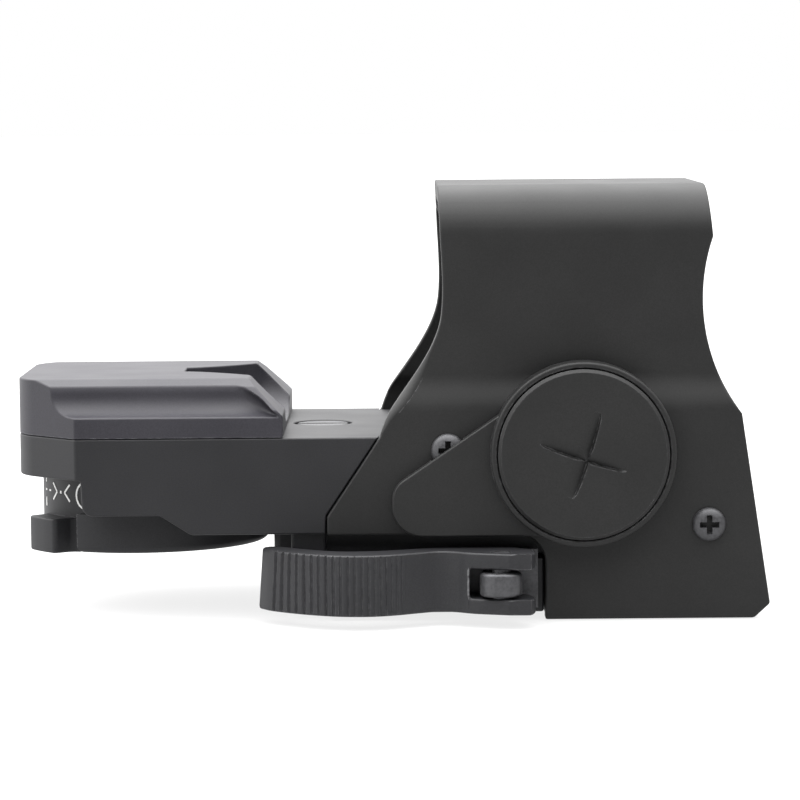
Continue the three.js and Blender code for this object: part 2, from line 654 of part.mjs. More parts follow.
function makeBatteryCap() {
  const flange = bar('y', BATTERY_X, BATTERY_Z, CAP_RADIUS, CAP_FACE_Y, BOSS_FACE_Y - 0.95, 22);
  const plug = bar('y', BATTERY_X, BATTERY_Z, 10.2, BOSS_FACE_Y - 1, -24.2, 18);
  const arm = prism('y', rectangle(-6, -1, 6, 1), CAP_FACE_Y - 1, CAP_FACE_Y + 1.2);
  const turned = (angle) => arm.rotate([0, angle, 0]).translate([BATTERY_X, 0, BATTERY_Z]);
  return cut(unite(flange, plug), turned(18), turned(108));
}

const makeCapRing = () => cut(
  bar('y', BATTERY_X, BATTERY_Z, 11.5, BOSS_FACE_Y - 0.9, BOSS_FACE_Y - 0.05, 16),
  bar('y', BATTERY_X, BATTERY_Z, 10.6, -30, -20, 16),
);

const makeCell = () => bar('y', BATTERY_X, BATTERY_Z, CELL_RADIUS, -24, -20.8, 18);

const makeCellSpring = () =>
  coil(3.2, 0.2, 0.95, 1.6).rotate([90, 0, 0]).translate([BATTERY_X, -19.7, BATTERY_Z]);

// ---------------------------------------------------------------- brightness keypad (far side)
const BUTTON_Z = 9;
const BUTTON_XS = [8.5, 17.5];

const makeBezel = () => cut(
  prism('y', rectangle(2.5, 3.8, 23.5, 14.2, 3), PLATE_HALF + 0.05, PLATE_HALF + 1.2),
  ...BUTTON_XS.map((x) => bar('y', x, BUTTON_Z, 3.3, 22, 26)),
);

const makeButton = (x) => unite(
  bar('y', x, BUTTON_Z, 3, PLATE_HALF + 0.8, PLATE_HALF + 1.7, 10),
  bar('y', x, BUTTON_Z, 2.6, PLATE_HALF + 1.6, PLATE_HALF + 2, 10),
);

// ---------------------------------------------------------------- quick-release clamp
// The fork's end is a spiral cam round the pivot: its radius grows from the tip to the flat
// that presses on the thrust plate.
function leverPlan() {
  const outer = [
    [0.8, -31.2], [-3.9, -29.6], [-6.5, -27.9], [-8.7, -27.3], [-11.5, -28.6], [-14.2, -30.2],
    [-17, -31.3], [-19.7, -31.6], [-22.6, -31.2], [-25.2, -30.2], [-27.8, -28.7], [-30.2, -26.8],
    [-32, -25], [-33.2, -23],
  ];
  const grip = [
    [-33.3, -21.5], [-32.3, -20.6], [-30.5, -21.2], [-27, -24], [-23, -26.3], [-19, -26.6],
    [-15, -25.6], [-11.5, -24.2], [-8.7, -23.4], [-5, LEVER_INNER_Y],
  ];
  const camSteps = 7;
  const cam = Array.from({ length: camSteps + 1 }, (_, i) => {
    const angle = (90 - (120 * i) / camSteps) * DEG;
    const radius = CAM_RADIUS + CAM_LIFT * Math.max(0, angle / (Math.PI / 2));
    return [BOLT_X + radius * Math.cos(angle), PIVOT_Y + radius * Math.sin(angle)];
  });
  return outline([...outer, ...grip, ...cam, [2.6, -31.3]]);
}

const makeLever = () => cut(
  prism('z', leverPlan(), LEVER_BOTTOM_Z, LEVER_TOP_Z),
  block(-4.6, -35, FORK_LOW_Z, 10, -20, FORK_HIGH_Z),
  bar('z', BOLT_X, PIVOT_Y, 1.4, -8, 8, 8),
);

const makePivotPin = () =>
  bar('z', BOLT_X, PIVOT_Y, 1.3, LEVER_BOTTOM_Z + 0.1, LEVER_TOP_Z - 0.1, 8);

// The bolt runs across under the seat. Its eye and the neck behind it are flattened to sit
// between the lever's fork.
function makeBolt() {
  const low = BOLT_Z - EYE_HALF;
  const high = BOLT_Z + EYE_HALF;
  const eye = prism('z', rectangle(BOLT_X - 2.9, PIVOT_Y - 2.4, BOLT_X + 2.9, PIVOT_Y + 2.4, 2.2),
    low, high);
  const neckEnd = -22.8;
  const neck = bar('y', BOLT_X, BOLT_Z, BOLT_RADIUS, -27.3, neckEnd + 0.1, 10)
    .intersect(block(-4, -30, low, 4, -20, high));
  const shank = unite(neck, bar('y', BOLT_X, BOLT_Z, BOLT_RADIUS, neckEnd, 20.8, 10));
  const thread = bar('y', BOLT_X, BOLT_Z, 1.9, 20.5, 24.2, 8);
  return cut(unite(eye, shank, thread), bar('z', BOLT_X, PIVOT_Y, 1.35, -8, 8, 8));
}

const makeNut = () => cut(
  bar('y', BOLT_X, BOLT_Z, 3.9, 21, 24, 10),
  bar('y', BOLT_X, BOLT_Z, 2, 20, 26, 8),
  block(BOLT_X - 5, 23.3, BOLT_Z - 0.6, BOLT_X + 5, 25, BOLT_Z + 0.6),
);

const makeThrustPlate = () => cut(
  block(-7.2, -22.95, -5.3, 5, -21.95, 2.9),
  bar('y', BOLT_X, BOLT_Z, BOLT_RADIUS + 0.2, -25, -20, 8),
);

const makeJaw = () => cut(
  prism('x', outline([
    [-21.85, -6.1, 0.6], [-LIP_HALF, -6.1], [-LIP_HALF, -4.55], [-RAIL_HALF - 0.2, -3.25],
    [-RAIL_HALF - 0.2, 1.5], [-21.85, 1.5],
  ]), -23.9, 5.5),
  bar('y', BOLT_X, BOLT_Z, BOLT_RADIUS + 0.2, -25, -5, 10),
);

// ---------------------------------------------------------------- assembly
addPiece('main_body', makeMainBody(), blackAnodised);
addPiece('hood', makeHood(), blackAnodised);
addPiece('emitter_cover', makeCover(), blackCoat);
addPiece('emitter_window', block(-46.25, -1.7, 22.35, -45.75, 1.7, 23.45), glass);
addPiece('lens_frame', makeLensFrame(), blackAnodised);
addPiece('lens_retainer', makeLensRetainer(), blackAnodised);
addPiece('lens', tilted(makeLens()), glass);
addPiece('selector_base', makeSelectorBase(), blackAnodised);
addPiece('selector_knob', makeSelectorKnob(), blackAnodised);
addPiece('selector_shaft', makeSelectorShaft(), brightSteel);
addPiece('mask_drum', makeMaskDrum(), blackSteel);
addPiece('circuit_board', makeCircuitBoard(), greenBoard);
addPiece('elevation_stage', makeStage(), brass);
addPiece('emitter_carriage', makeCarriage(), blackSteel);
addPiece('led_emitter', makeEmitter(), redLens);
addPiece('battery_housing', makeBatteryHousing(), blackAnodised);
addPiece('battery_cap', makeBatteryCap(), blackAnodised);
addPiece('battery_cap_oring', makeCapRing(), rubber);
addPiece('coin_battery', makeCell(), brightSteel);
addPiece('battery_contact_spring', makeCellSpring(), brass);
addPiece('keypad_bezel', makeBezel(), blackAnodised);
addPiece('brightness_up_button', makeButton(BUTTON_XS[1]), rubber);
addPiece('brightness_down_button', makeButton(BUTTON_XS[0]), rubber);
addPiece('qr_lever', makeLever(), blackAnodised);
addPiece('lever_pivot_pin', makePivotPin(), brightSteel);
addPiece('cross_bolt', makeBolt(), blackSteel);
addPiece('cross_bolt_nut', makeNut(), blackSteel);
addPiece('thrust_plate', makeThrustPlate(), blackSteel);
addPiece('clamp_jaw', makeJaw(), blackAnodised);

addPiece(
  'elevation_screw',
  makeSlottedScrew('z', ADJUSTER_X, 0, 3.9, DECK_Z - 1.1, DECK_Z - 0.1, 1.6, 12.8),
  blackSteel,
);
addPiece(
  'windage_screw',
  makeSlottedScrew('y', WINDAGE_X, WINDAGE_Z, 3.2, ARM_HALF - 1.1, ARM_HALF - 0.1, 1.5, 3.3),
  blackSteel,
);
addPiece('elevation_spring', coil(1.15, 0.2, 2.8, 4).translate([LIFT_SPRING_X, 0, 6]), brightSteel);
addPiece(
  'windage_spring',
  coil(1.15, 0.2, 5, 5).rotate([-90, 0, 0]).translate([WINDAGE_X, -8.1, WINDAGE_Z]),
  brightSteel,
);
addPiece(
  'detent_ball',
  solidFrom(new THREE.SphereGeometry(0.8, 12, 8)).translate([...DETENT_BALL, 13.15]),
  brightSteel,
);

for (const [end, place] of [['front', HOOD_SCREW_FRONT], ['rear', HOOD_SCREW_REAR]]) {
  addPiece(`hood_screw_${end}_right`, makePanScrew(place, -1), blackSteel);
  addPiece(`hood_screw_${end}_left`, makePanScrew(place, 1), blackSteel);
}
['right', 'left'].forEach((side, i) => {
  const screw = unite(
    bar('z', COVER_SCREW_X, COVER_SCREW_YS[i], 1.95, REAR_BOTTOM_Z + 0.1, REAR_BOTTOM_Z + 1.1, 6),
    bar('z', COVER_SCREW_X, COVER_SCREW_YS[i], 1, REAR_BOTTOM_Z + 1, 18.4, 5),
  );
  addPiece(`cover_screw_${side}`, screw, blackSteel);
});

const group = new THREE.Group();
group.add(sight);

export default group;
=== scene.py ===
import math

import bmesh
import bpy
from mathutils import Matrix, Vector


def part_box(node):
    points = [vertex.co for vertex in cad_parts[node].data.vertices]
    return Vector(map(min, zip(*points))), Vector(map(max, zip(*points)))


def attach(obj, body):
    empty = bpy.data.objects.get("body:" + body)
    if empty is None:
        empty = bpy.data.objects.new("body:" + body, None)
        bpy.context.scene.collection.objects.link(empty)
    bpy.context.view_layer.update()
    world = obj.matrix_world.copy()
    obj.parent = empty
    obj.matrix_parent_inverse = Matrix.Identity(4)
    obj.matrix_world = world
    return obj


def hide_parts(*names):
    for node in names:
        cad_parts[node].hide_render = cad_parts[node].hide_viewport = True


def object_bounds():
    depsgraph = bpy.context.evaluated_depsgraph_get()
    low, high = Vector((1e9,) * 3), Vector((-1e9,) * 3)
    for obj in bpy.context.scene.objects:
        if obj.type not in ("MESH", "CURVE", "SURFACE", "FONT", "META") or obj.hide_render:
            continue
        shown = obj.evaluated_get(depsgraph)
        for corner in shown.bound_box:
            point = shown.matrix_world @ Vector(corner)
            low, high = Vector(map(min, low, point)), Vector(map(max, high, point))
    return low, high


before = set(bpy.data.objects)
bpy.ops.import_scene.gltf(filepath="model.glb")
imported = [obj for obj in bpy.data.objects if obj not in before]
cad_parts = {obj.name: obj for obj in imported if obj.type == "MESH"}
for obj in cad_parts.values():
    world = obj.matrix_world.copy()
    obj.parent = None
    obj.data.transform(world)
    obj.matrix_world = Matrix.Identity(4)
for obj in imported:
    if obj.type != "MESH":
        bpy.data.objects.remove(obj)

# ------------------------------------------------------------------ places and sizes
# Shapes are drawn in millimetres from the cross bolt's station, as the CAD part is, and moved to
# the frame's zero, the middle of the rail seat, when they are finished.
MM = 0.001
CAD_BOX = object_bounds()


def box_mm(node):
    low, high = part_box(node)
    return low / MM, high / MM


def centre_mm(node):
    low, high = box_mm(node)
    return (low + high) / 2


BOLT_X = -0.3
ZERO_X = centre_mm("cross_bolt_nut").x - BOLT_X
BOLT_Z = centre_mm("cross_bolt_nut").z


def place_of(node):
    """Centre of a CAD node in the drawing's millimetres."""
    return centre_mm(node) - Vector((ZERO_X, 0, 0))


CAP = place_of("battery_cap")
SELECTOR = place_of("selector_shaft")
REAR_SCREW = place_of("hood_screw_rear_right")
FOOT_Z = box_mm("hood")[0].z
HOOD_TOP = box_mm("hood")[1].z
PLATE_HALF = -box_mm("hood")[0].y
DECK_Z = 18.6
ARM_HALF = 22.3
ARM_BOTTOM_Z = 5.1
REAR_X = -68
SEAM = 0.15
WALL_HALF = 21.8
WALL_INNER = 19.2
PLATE_INNER = 20.4
REAR_LEAN = math.radians(33.8)
PLATE_REAR = Vector((-24.25, 7.6))
REAR_EDGE = [
    (-16.82, 18.7), (-16.3, 20.2), (-15.5, 22), (-14.15, 24), (-12.75, 26), (-11, 28.6), (-9.4, 31.5),
    (-8.35, 34.5), (-8, 38), (-8.05, 42), (-8.25, 46), (-8.45, 51),
]
HOOD_REAR_X = -8.6
FLARE_LOW_Z = 22
FLARE_TOP_Z = 27.4
COVER_TOP = 26.5
BOSS_FACE = -25.3
CAP_FACE = -27.4
DRUM_RADIUS = 14.55
BASE_RADIUS = 18.15

# ------------------------------------------------------------------ camera
CAMERA_PLACE = (-0.01908, -0.49162, 0.06566)
CAMERA_TILT = math.radians(84.9)
CAMERA_ROLL = -0.0082

camera_data = bpy.data.cameras.new("camera")
camera_data.sensor_width = 36
camera_data.lens = 153
camera_data.clip_start = 0.01
camera_data.clip_end = 50
camera = bpy.data.objects.new("camera", camera_data)
bpy.context.scene.collection.objects.link(camera)
turn = Matrix.Rotation(CAMERA_TILT, 4, "X") @ Matrix.Rotation(CAMERA_ROLL, 4, "Z")
camera.matrix_world = Matrix.Translation(CAMERA_PLACE) @ turn
bpy.context.scene.camera = camera


# ------------------------------------------------------------------ materials
def srgb(*values):
    return tuple((v / 255 / 12.92) if v < 10.3 else ((v / 255 + 0.055) / 1.055) ** 2.4 for v in values) + (1,)


class Nodes:
    """Short calls for building a node tree."""

    def __init__(self, name):
        self.material = bpy.data.materials.new(name)
        self.material.use_nodes = True
        self.tree = self.material.node_tree
        self.shader = self.tree.nodes["Principled BSDF"]
        self.coords = self.add("ShaderNodeTexCoord").outputs["Object"]

    def add(self, kind, **settings):
        node = self.tree.nodes.new(kind)
        for key, value in settings.items():
            setattr(node, key, value)
        return node

    def link(self, source, target):
        self.tree.links.new(source, target)

    def noise(self, scale, detail=3, stretch=(1, 1, 1)):
        mapping = self.add("ShaderNodeMapping")
        mapping.inputs["Scale"].default_value = stretch
        self.link(self.coords, mapping.inputs["Vector"])
        node = self.add("ShaderNodeTexNoise")
        node.inputs["Scale"].default_value = scale
        node.inputs["Detail"].default_value = detail
        self.link(mapping.outputs["Vector"], node.inputs["Vector"])
        return node.outputs["Fac"]

    def ramp(self, factor, low, high, start, end):
        node = self.add("ShaderNodeValToRGB")
        node.color_ramp.elements[0].position = start
        node.color_ramp.elements[1].position = end
        node.color_ramp.elements[0].color = low
        node.color_ramp.elements[1].color = high
        self.link(factor, node.inputs["Fac"])
        return node.outputs["Color"]

    def grey_ramp(self, factor, low, high, start, end):
        return self.ramp(factor, (low, low, low, 1), (high, high, high, 1), start, end)

    def mix(self, factor, a, b, blend="MIX"):
        node = self.add("ShaderNodeMix", data_type="RGBA", blend_type=blend)
        if isinstance(factor, float):
            node.inputs[0].default_value = factor
        else:
            self.link(factor, node.inputs[0])
        for value, socket in ((a, node.inputs[6]), (b, node.inputs[7])):
            if isinstance(value, tuple):
                socket.default_value = value
            else:
                self.link(value, socket)
        return node.outputs[2]

    def math(self, operation, a, b):
        node = self.add("ShaderNodeMath", operation=operation, use_clamp=True)
        for value, socket in ((a, node.inputs[0]), (b, node.inputs[1])):
            if isinstance(value, (int, float)):
                socket.default_value = value
            else:
                self.link(value, socket)
        return node.outputs[0]

    def edges(self, radius, low, high):
        """1 on convex edges and 0 on flats: where the rounded normal leaves the face's own."""
        bevel = self.add("ShaderNodeBevel", samples=4)
        bevel.inputs["Radius"].default_value = radius
        geometry = self.add("ShaderNodeNewGeometry")
        dot = self.add("ShaderNodeVectorMath", operation="DOT_PRODUCT")
        self.link(bevel.outputs["Normal"], dot.inputs[0])
        self.link(geometry.outputs["Normal"], dot.inputs[1])
        away = self.math("SUBTRACT", 1, dot.outputs["Value"])
        return self.grey_ramp(away, 0, 1, low, high)

    def bump(self, *layers):
        """Each layer is (height, distance in metres, strength)."""
        normal = None
        for height, distance, strength in layers:
            node = self.add("ShaderNodeBump")
            node.inputs["Distance"].default_value = distance
            node.inputs["Strength"].default_value = strength
            self.link(height, node.inputs["Height"])
            if normal is not None:
                self.link(normal, node.inputs["Normal"])
            normal = node.outputs["Normal"]
        self.link(normal, self.shader.inputs["Normal"])

    def color(self, source):
        self.link(source, self.shader.inputs["Base Color"])

    def roughness(self, source):
        self.link(source, self.shader.inputs["Roughness"])

    def set(self, **values):
        for key, value in values.items():
            self.shader.inputs[key.replace("_", " ")].default_value = value


def coated_metal(name, color, lighter, rough):
    """Blasted and anodised aluminium: fine grain, faint blotches and edges worn a little paler."""
    specular = 0.25
    wear = 0.35
    nodes = Nodes(name)
    grain = nodes.noise(5200, 4)
    pores = nodes.noise(1500, 2)
    blotch = nodes.noise(85, 3)
    tone = nodes.ramp(blotch, color, lighter, 0.3, 0.75)
    speck = nodes.grey_ramp(grain, 0.78, 1.2, 0.3, 0.7)
    tone = nodes.mix(1.0, tone, speck, "MULTIPLY")
    worn = nodes.math("MULTIPLY", nodes.edges(0.00028, 0.02, 0.3), nodes.grey_ramp(pores, 0, wear, 0.35, 0.7))
    nodes.color(nodes.mix(worn, tone, srgb(150, 150, 152)))
    nodes.roughness(nodes.grey_ramp(blotch, rough - 0.04, rough + 0.05, 0.3, 0.7))
    nodes.bump((grain, 0.000012, 0.35), (pores, 0.00003, 0.12))
    nodes.set(Specular_IOR_Level=specular)
    return nodes.material


def turned_metal(name, color, lighter, rough, stretch=(1, 1, 1), metallic=1.0):
    """Machined steel or brass with fine tool lines."""
    nodes = Nodes(name)
    lines = nodes.noise(2600, 4, stretch)
    stain = nodes.noise(260, 3)
    tone = nodes.ramp(stain, color, lighter, 0.3, 0.7)
    nodes.color(nodes.mix(1.0, tone, nodes.grey_ramp(lines, 0.75, 1.15, 0.3, 0.7), "MULTIPLY"))
    nodes.roughness(nodes.grey_ramp(lines, rough - 0.08, rough + 0.12, 0.3, 0.7))
    nodes.bump((lines, 0.00001, 0.3))
    nodes.set(Metallic=metallic)
    return nodes.material


def soft_plastic(name, color, lighter, rough):
    """Rubber, board or paint: matte with a fine mottle."""
    nodes = Nodes(name)
    grain = nodes.noise(3800, 3)
    blotch = nodes.noise(150, 2)
    tone = nodes.ramp(blotch, color, lighter, 0.3, 0.7)
    nodes.color(nodes.mix(1.0, tone, nodes.grey_ramp(grain, 0.85, 1.1, 0.3, 0.7), "MULTIPLY"))
    nodes.roughness(nodes.grey_ramp(grain, rough - 0.05, rough + 0.05, 0.3, 0.7))
    nodes.bump((grain, 0.00001, 0.3))
    return nodes.material


def coated_glass(name):
    """Lens glass with a faint coating and a trace of dust."""
    nodes = Nodes(name)
    dust = nodes.noise(900, 3)
    nodes.color(nodes.ramp(dust, (0.78, 0.9, 0.95, 1), (0.9, 0.97, 0.97, 1), 0.3, 0.7))
    nodes.roughness(nodes.grey_ramp(dust, 0.0, 0.06, 0.55, 0.9))
    nodes.set(Transmission_Weight=1.0, IOR=1.5, Coat_Weight=0.3)
    return nodes.material


HOOD_BLACK = coated_metal("anodised_black", srgb(22, 22, 22), srgb(27, 27, 27), 0.5)
BODY_BLACK = coated_metal("body_black", srgb(26, 26, 28), srgb(31, 31, 33), 0.5)
COVER_BLACK = coated_metal("cover_coat", srgb(38, 37, 42), srgb(43, 42, 47), 0.5)
LEVER_BLACK = coated_metal("lever_black", srgb(33, 33, 35), srgb(38, 38, 40), 0.45)
SCREW_BLACK = turned_metal("black_oxide", srgb(60, 60, 62), srgb(74, 74, 76), 0.45, metallic=0.6)
STEEL = turned_metal("bright_steel", srgb(150, 150, 152), srgb(178, 178, 180), 0.35, (1, 8, 1))
BRASS = turned_metal("brass", srgb(170, 130, 62), srgb(196, 156, 84), 0.35, (8, 1, 1))
RUBBER = soft_plastic("black_rubber", srgb(26, 26, 27), srgb(36, 36, 37), 0.75)
BOARD = soft_plastic("solder_mask", srgb(22, 70, 40), srgb(32, 92, 54), 0.4)
RED_LENS = soft_plastic("red_diode", srgb(130, 28, 22), srgb(160, 40, 30), 0.15)
WHITE_PAINT = soft_plastic("white_marks", srgb(205, 205, 203), srgb(232, 232, 230), 0.6)
GLASS = coated_glass("lens_glass")


# ------------------------------------------------------------------ shape making
def outline(corners, step=math.radians(6)):
    """Points of a closed outline. A corner given as (x, y, radius) is rounded with an arc."""
    points = [Vector(c[:2]) for c in corners]
    out = []
    for i, corner in enumerate(corners):
        p = points[i]
        radius = corner[2] if len(corner) > 2 else 0
        if not radius:
            out.append(p)
            continue
        back = (points[i - 1] - p).normalized()
        ahead = (points[(i + 1) % len(points)] - p).normalized()
        half = back.angle(ahead) / 2
        centre = p + (back + ahead).normalized() * radius / math.sin(half)
        start = p + back * radius / math.tan(half) - centre
        end = p + ahead * radius / math.tan(half) - centre
        first = math.atan2(start.y, start.x)
        sweep = math.atan2(start.cross(end), start.dot(end))
        count = max(2, math.ceil(abs(sweep) / step))
        for k in range(count + 1):
            angle = first + sweep * k / count
            out.append(centre + radius * Vector((math.cos(angle), math.sin(angle))))
    return out


def arc(x, y, radius, start, end, count):
    return [
        Vector((x + radius * math.cos(a), y + radius * math.sin(a)))
        for a in (start + (end - start) * k / count for k in range(count + 1))
    ]


def mirrored(corners):
    """A left-right symmetrical outline from its right half."""
    return list(corners) + [(-c[0], *c[1:]) for c in reversed(corners)]


def rectangle(x0, y0, x1, y1, radius=0):
    return outline([(x0, y0, radius), (x1, y0, radius), (x1, y1, radius), (x0, y1, radius)])


def circle(x, y, radius, steps=72):
    return arc(x, y, radius, 0, 2 * math.pi * (1 - 1 / steps), steps - 1)


def inset(points, amount):
    """The outline moved inwards by amount, each corner along its mitre."""
    area = sum(a.cross(b) for a, b in zip(points, points[1:] + points[:1]))
    side = 1 if area > 0 else -1
    moved = []
    for i, p in enumerate(points):
        before = (p - points[i - 1]).normalized()
        after = (points[(i + 1) % len(points)] - p).normalized()
        if before.length == 0 or after.length == 0:
            moved.append(p)
            continue
        n1 = Vector((-before.y, before.x)) * side
        n2 = Vector((-after.y, after.x)) * side
        mitre = n1 + n2
        moved.append(p + mitre * amount / max(mitre.dot(n1), 0.5))
    return moved


AXES = {
    "x": lambda u, v, h: (h, u, v),
    "y": lambda u, v, h: (u, h, v),
    "z": lambda u, v, h: (u, v, h),
}


def closed_mesh(verts, faces):
    mesh = bpy.data.meshes.new("shape")
    mesh.from_pydata(verts, [], faces)
    work = bmesh.new()
    work.from_mesh(mesh)
    bmesh.ops.remove_doubles(work, verts=work.verts, dist=1e-5)
    bmesh.ops.recalc_face_normals(work, faces=work.faces)
    work.to_mesh(mesh)
    work.free()
    return mesh


def skinned(rings):
    """A closed solid through rings of equal length, with flat ends."""
    count = len(rings[0])
    verts = [v for ring in rings for v in ring]
    faces = [list(range(count)), list(range(len(verts) - count, len(verts)))]
    for level in range(len(rings) - 1):
        for i in range(count):
            a = level * count + i
            b = level * count + (i + 1) % count
            faces.append([a, b, b + count, a + count])
    return closed_mesh(verts, faces)


def stack(axis, levels):
    """A closed solid through outlines of equal length, given as (height, points)."""
    put = AXES[axis]
    return skinned([[put(p[0], p[1], height) for p in points] for height, points in levels])


def prism(axis, points, low, high, rim=0, rim_low=None, steps=4):
    """An extruded outline; rim rounds the edge at high and rim_low the one at low."""
    rim_low = rim if rim_low is None else rim_low
    levels = []
    for radius, end, way in ((rim_low, low, 1), (rim, high, -1)):
        ring = []
        if radius:
            for k in range(steps + 1):
                angle = math.pi / 2 * k / steps
                shift = radius * (1 - math.sin(angle))
                ring.append((end + way * radius * (1 - math.cos(angle)), inset(points, shift)))
        else:
            ring.append((end, points))
        levels += ring if way == 1 else ring[::-1]
    return stack(axis, levels)


def bar(axis, u, v, radius, low, high, rim=0, rim_low=None, steps=72):
    return prism(axis, circle(u, v, radius, steps), low, high, rim, rim_low)


def block(x0, y0, z0, x1, y1, z1):
    return prism("z", rectangle(x0, y0, x1, y1), z0, z1)


def lathe(axis, u, v, profile, steps=96):
    """A closed (radius, height) loop turned round the axis through (u, v)."""
    put = AXES[axis]
    rings = []
    verts = []
    for radius, height in profile:
        rings.append(len(verts))
        for k in range(steps):
            angle = 2 * math.pi * k / steps
            verts.append(put(u + radius * math.cos(angle), v + radius * math.sin(angle), height))
    faces = []
    for i, a in enumerate(rings):
        b = rings[(i + 1) % len(rings)]
        for k in range(steps):
            n = (k + 1) % steps
            faces.append([a + k, a + n, b + n, b + k])
    return closed_mesh(verts, faces)


def evaluated(mesh, modifiers, tools=()):
    """The mesh with modifiers applied, each given as (kind, settings)."""
    obj = bpy.data.objects.new("work", mesh)
    bpy.context.scene.collection.objects.link(obj)
    helpers = []
    for tool in tools:
        helper = bpy.data.objects.new("tool", tool)
        bpy.context.scene.collection.objects.link(helper)
        helpers.append(helper)
    for kind, settings in modifiers:
        modifier = obj.modifiers.new(kind, kind)
        for key, value in settings.items():
            setattr(modifier, key, helpers[value] if key == "object" else value)
    graph = bpy.context.evaluated_depsgraph_get()
    result = bpy.data.meshes.new_from_object(obj.evaluated_get(graph))
    for used in [obj, *helpers]:
        bpy.data.objects.remove(used)
    return result


def joined(operation, base, tools, solver="EXACT"):
    settings = [
        ("BOOLEAN", {"operation": operation, "solver": solver, "object": i}) for i in range(len(tools))
    ]
    return evaluated(base, settings, tools)


def cut(base, *tools):
    return joined("DIFFERENCE", base, tools)


def trimmed(base, *tools):
    """A cut into an already softened solid."""
    return joined("DIFFERENCE", base, tools, "MANIFOLD")


def unite(base, *tools):
    return joined("UNION", base, tools)


def common(base, *tools):
    return joined("INTERSECT", base, tools)


def softened(mesh, width, segments=3, angle=math.radians(32)):
    """Edges sharper than angle get a round of that width."""
    settings = {
        "width": width,
        "segments": segments,
        "limit_method": "ANGLE",
        "angle_limit": angle,
        "use_clamp_overlap": False,
        "miter_outer": "MITER_ARC",
    }
    return evaluated(mesh, [("BEVEL", settings)])


def together(*meshes):
    """Several separate solids as one mesh."""
    work = bmesh.new()
    for mesh in meshes:
        work.from_mesh(mesh)
    result = bpy.data.meshes.new("group")
    work.to_mesh(result)
    work.free()
    return result


def finish(name, mesh, material, body, nodes, smooth=math.radians(40)):
    """Moves a drawn mesh into the frame as a piece that rides on body and stands for nodes."""
    mesh.transform(Matrix.Scale(MM, 4) @ Matrix.Translation((ZERO_X, 0, 0)))
    mesh.materials.clear()
    mesh.materials.append(material)
    mesh.polygons.foreach_set("use_smooth", [True] * len(mesh.polygons))
    mesh.polygons.foreach_set("material_index", [0] * len(mesh.polygons))
    mesh.set_sharp_from_angle(angle=smooth)
    mesh.name = name
    obj = bpy.data.objects.new(name, mesh)
    bpy.context.scene.collection.objects.link(obj)
    weighted = obj.modifiers.new("normals", "WEIGHTED_NORMAL")
    weighted.keep_sharp = True
    weighted.weight = 60
    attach(obj, body)
    if nodes:
        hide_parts(*nodes)
    return obj


# ------------------------------------------------------------------ hood
def hood_side():
    """Side view of the hood: sloping rear edge, brow and a concave sweep at the front."""
    foot_x = 37.3
    sweep = Vector((54.7, 37.5))
    sweep_radius = 26.6
    toe = math.pi + math.asin((sweep.y - 21.55) / sweep_radius)
    brow = math.pi - math.asin((46.1 - sweep.y) / sweep_radius)
    points = [Vector((PLATE_REAR.x, FOOT_Z)), Vector((foot_x - 2.2, FOOT_Z)), Vector((foot_x, FOOT_Z + 2))]
    points += arc(sweep.x, sweep.y, sweep_radius, toe, brow, 28)
    points += [Vector((28.85, HOOD_TOP)), Vector((HOOD_REAR_X, HOOD_TOP))]
    points += smooth_curve(REAR_EDGE, 3)[::-1]
    points.append(PLATE_REAR)
    return points


def flare(low, high, bottom_z, top_z):
    """S-curve from the half width low at bottom_z to high at top_z."""
    steps = 18
    points = []
    for k in range(steps + 1):
        t = k / steps
        ease = t * t * (3 - 2 * t)
        points.append((low + (high - low) * ease, bottom_z + (top_z - bottom_z) * t))
    return points


def hood_section():
    thickness = 2.6
    curve = flare(PLATE_HALF, WALL_HALF, FLARE_LOW_Z, FLARE_TOP_Z)
    outer = [(PLATE_HALF, FOOT_Z), *curve, (WALL_HALF, HOOD_TOP, 7.2)]
    inner = [(PLATE_INNER, FOOT_Z - 1), (PLATE_INNER, 21), (WALL_INNER, 24)]
    inner.append((WALL_INNER, HOOD_TOP - thickness, 4.6))
    return outline(mirrored(outer), math.radians(4)), outline(mirrored(inner), math.radians(4))


def rear_edge_stations():
    """Points up the hood's rear edge where its walls flare: (point, lean, half width, round)."""
    stations = []
    edge = smooth_curve(REAR_EDGE, 2)
    for before, p, after in zip(edge, edge[1:], edge[2:]):
        if p.y > 34:
            break
        along = after - before
        t = min(1, max(0, (FLARE_TOP_Z - p.y) / (FLARE_TOP_Z - FLARE_LOW_Z)))
        half = WALL_HALF + (PLATE_HALF - WALL_HALF) * t * t * (3 - 2 * t)
        swell = max(0, 1 - ((p.y - 25) / 6.2) ** 2)
        stations.append((p, math.atan2(along.x, along.y), half, 0.2 + 1.15 * swell))
    return stations


def edge_round(side):
    """Cutter that rounds the outer rear edge of one wall, widest where the wall flares."""
    rings = []
    for p, lean, half, radius in rear_edge_stations():
        inward = Vector((math.cos(lean), -math.sin(lean)))
        section = [(-1, -1), (radius, -1)]
        section += [(radius - radius * math.sin(a), radius - radius * math.cos(a))
                    for a in (math.pi / 16 * k for k in range(9))]
        section.append((-1, radius))
        rings.append([
            (p.x + inward.x * (into - 0.02), side * (half - deep + 0.02), p.y + inward.y * (into - 0.02))
            for into, deep in section
        ])
    return skinned(rings)


def make_hood():
    arch, hollow = hood_section()
    shell = common(prism("x", arch, -40, 50), prism("y", hood_side(), -30, 30))
    window = outline([(-29, FOOT_Z - 2), (6, FOOT_Z - 2), (6, 5, 4), (-29, 5)])
    shell = cut(
        shell,
        prism("x", hollow, -41, 51),
        prism("y", window, -30, 0),
        bar("y", BOLT_X, BOLT_Z, 4.2, 19, 26),
    )
    shell = trimmed(softened(shell, 0.3), edge_round(-1), edge_round(1))
    finish("hood_shell", shell, HOOD_BLACK, "housing", ["hood"])


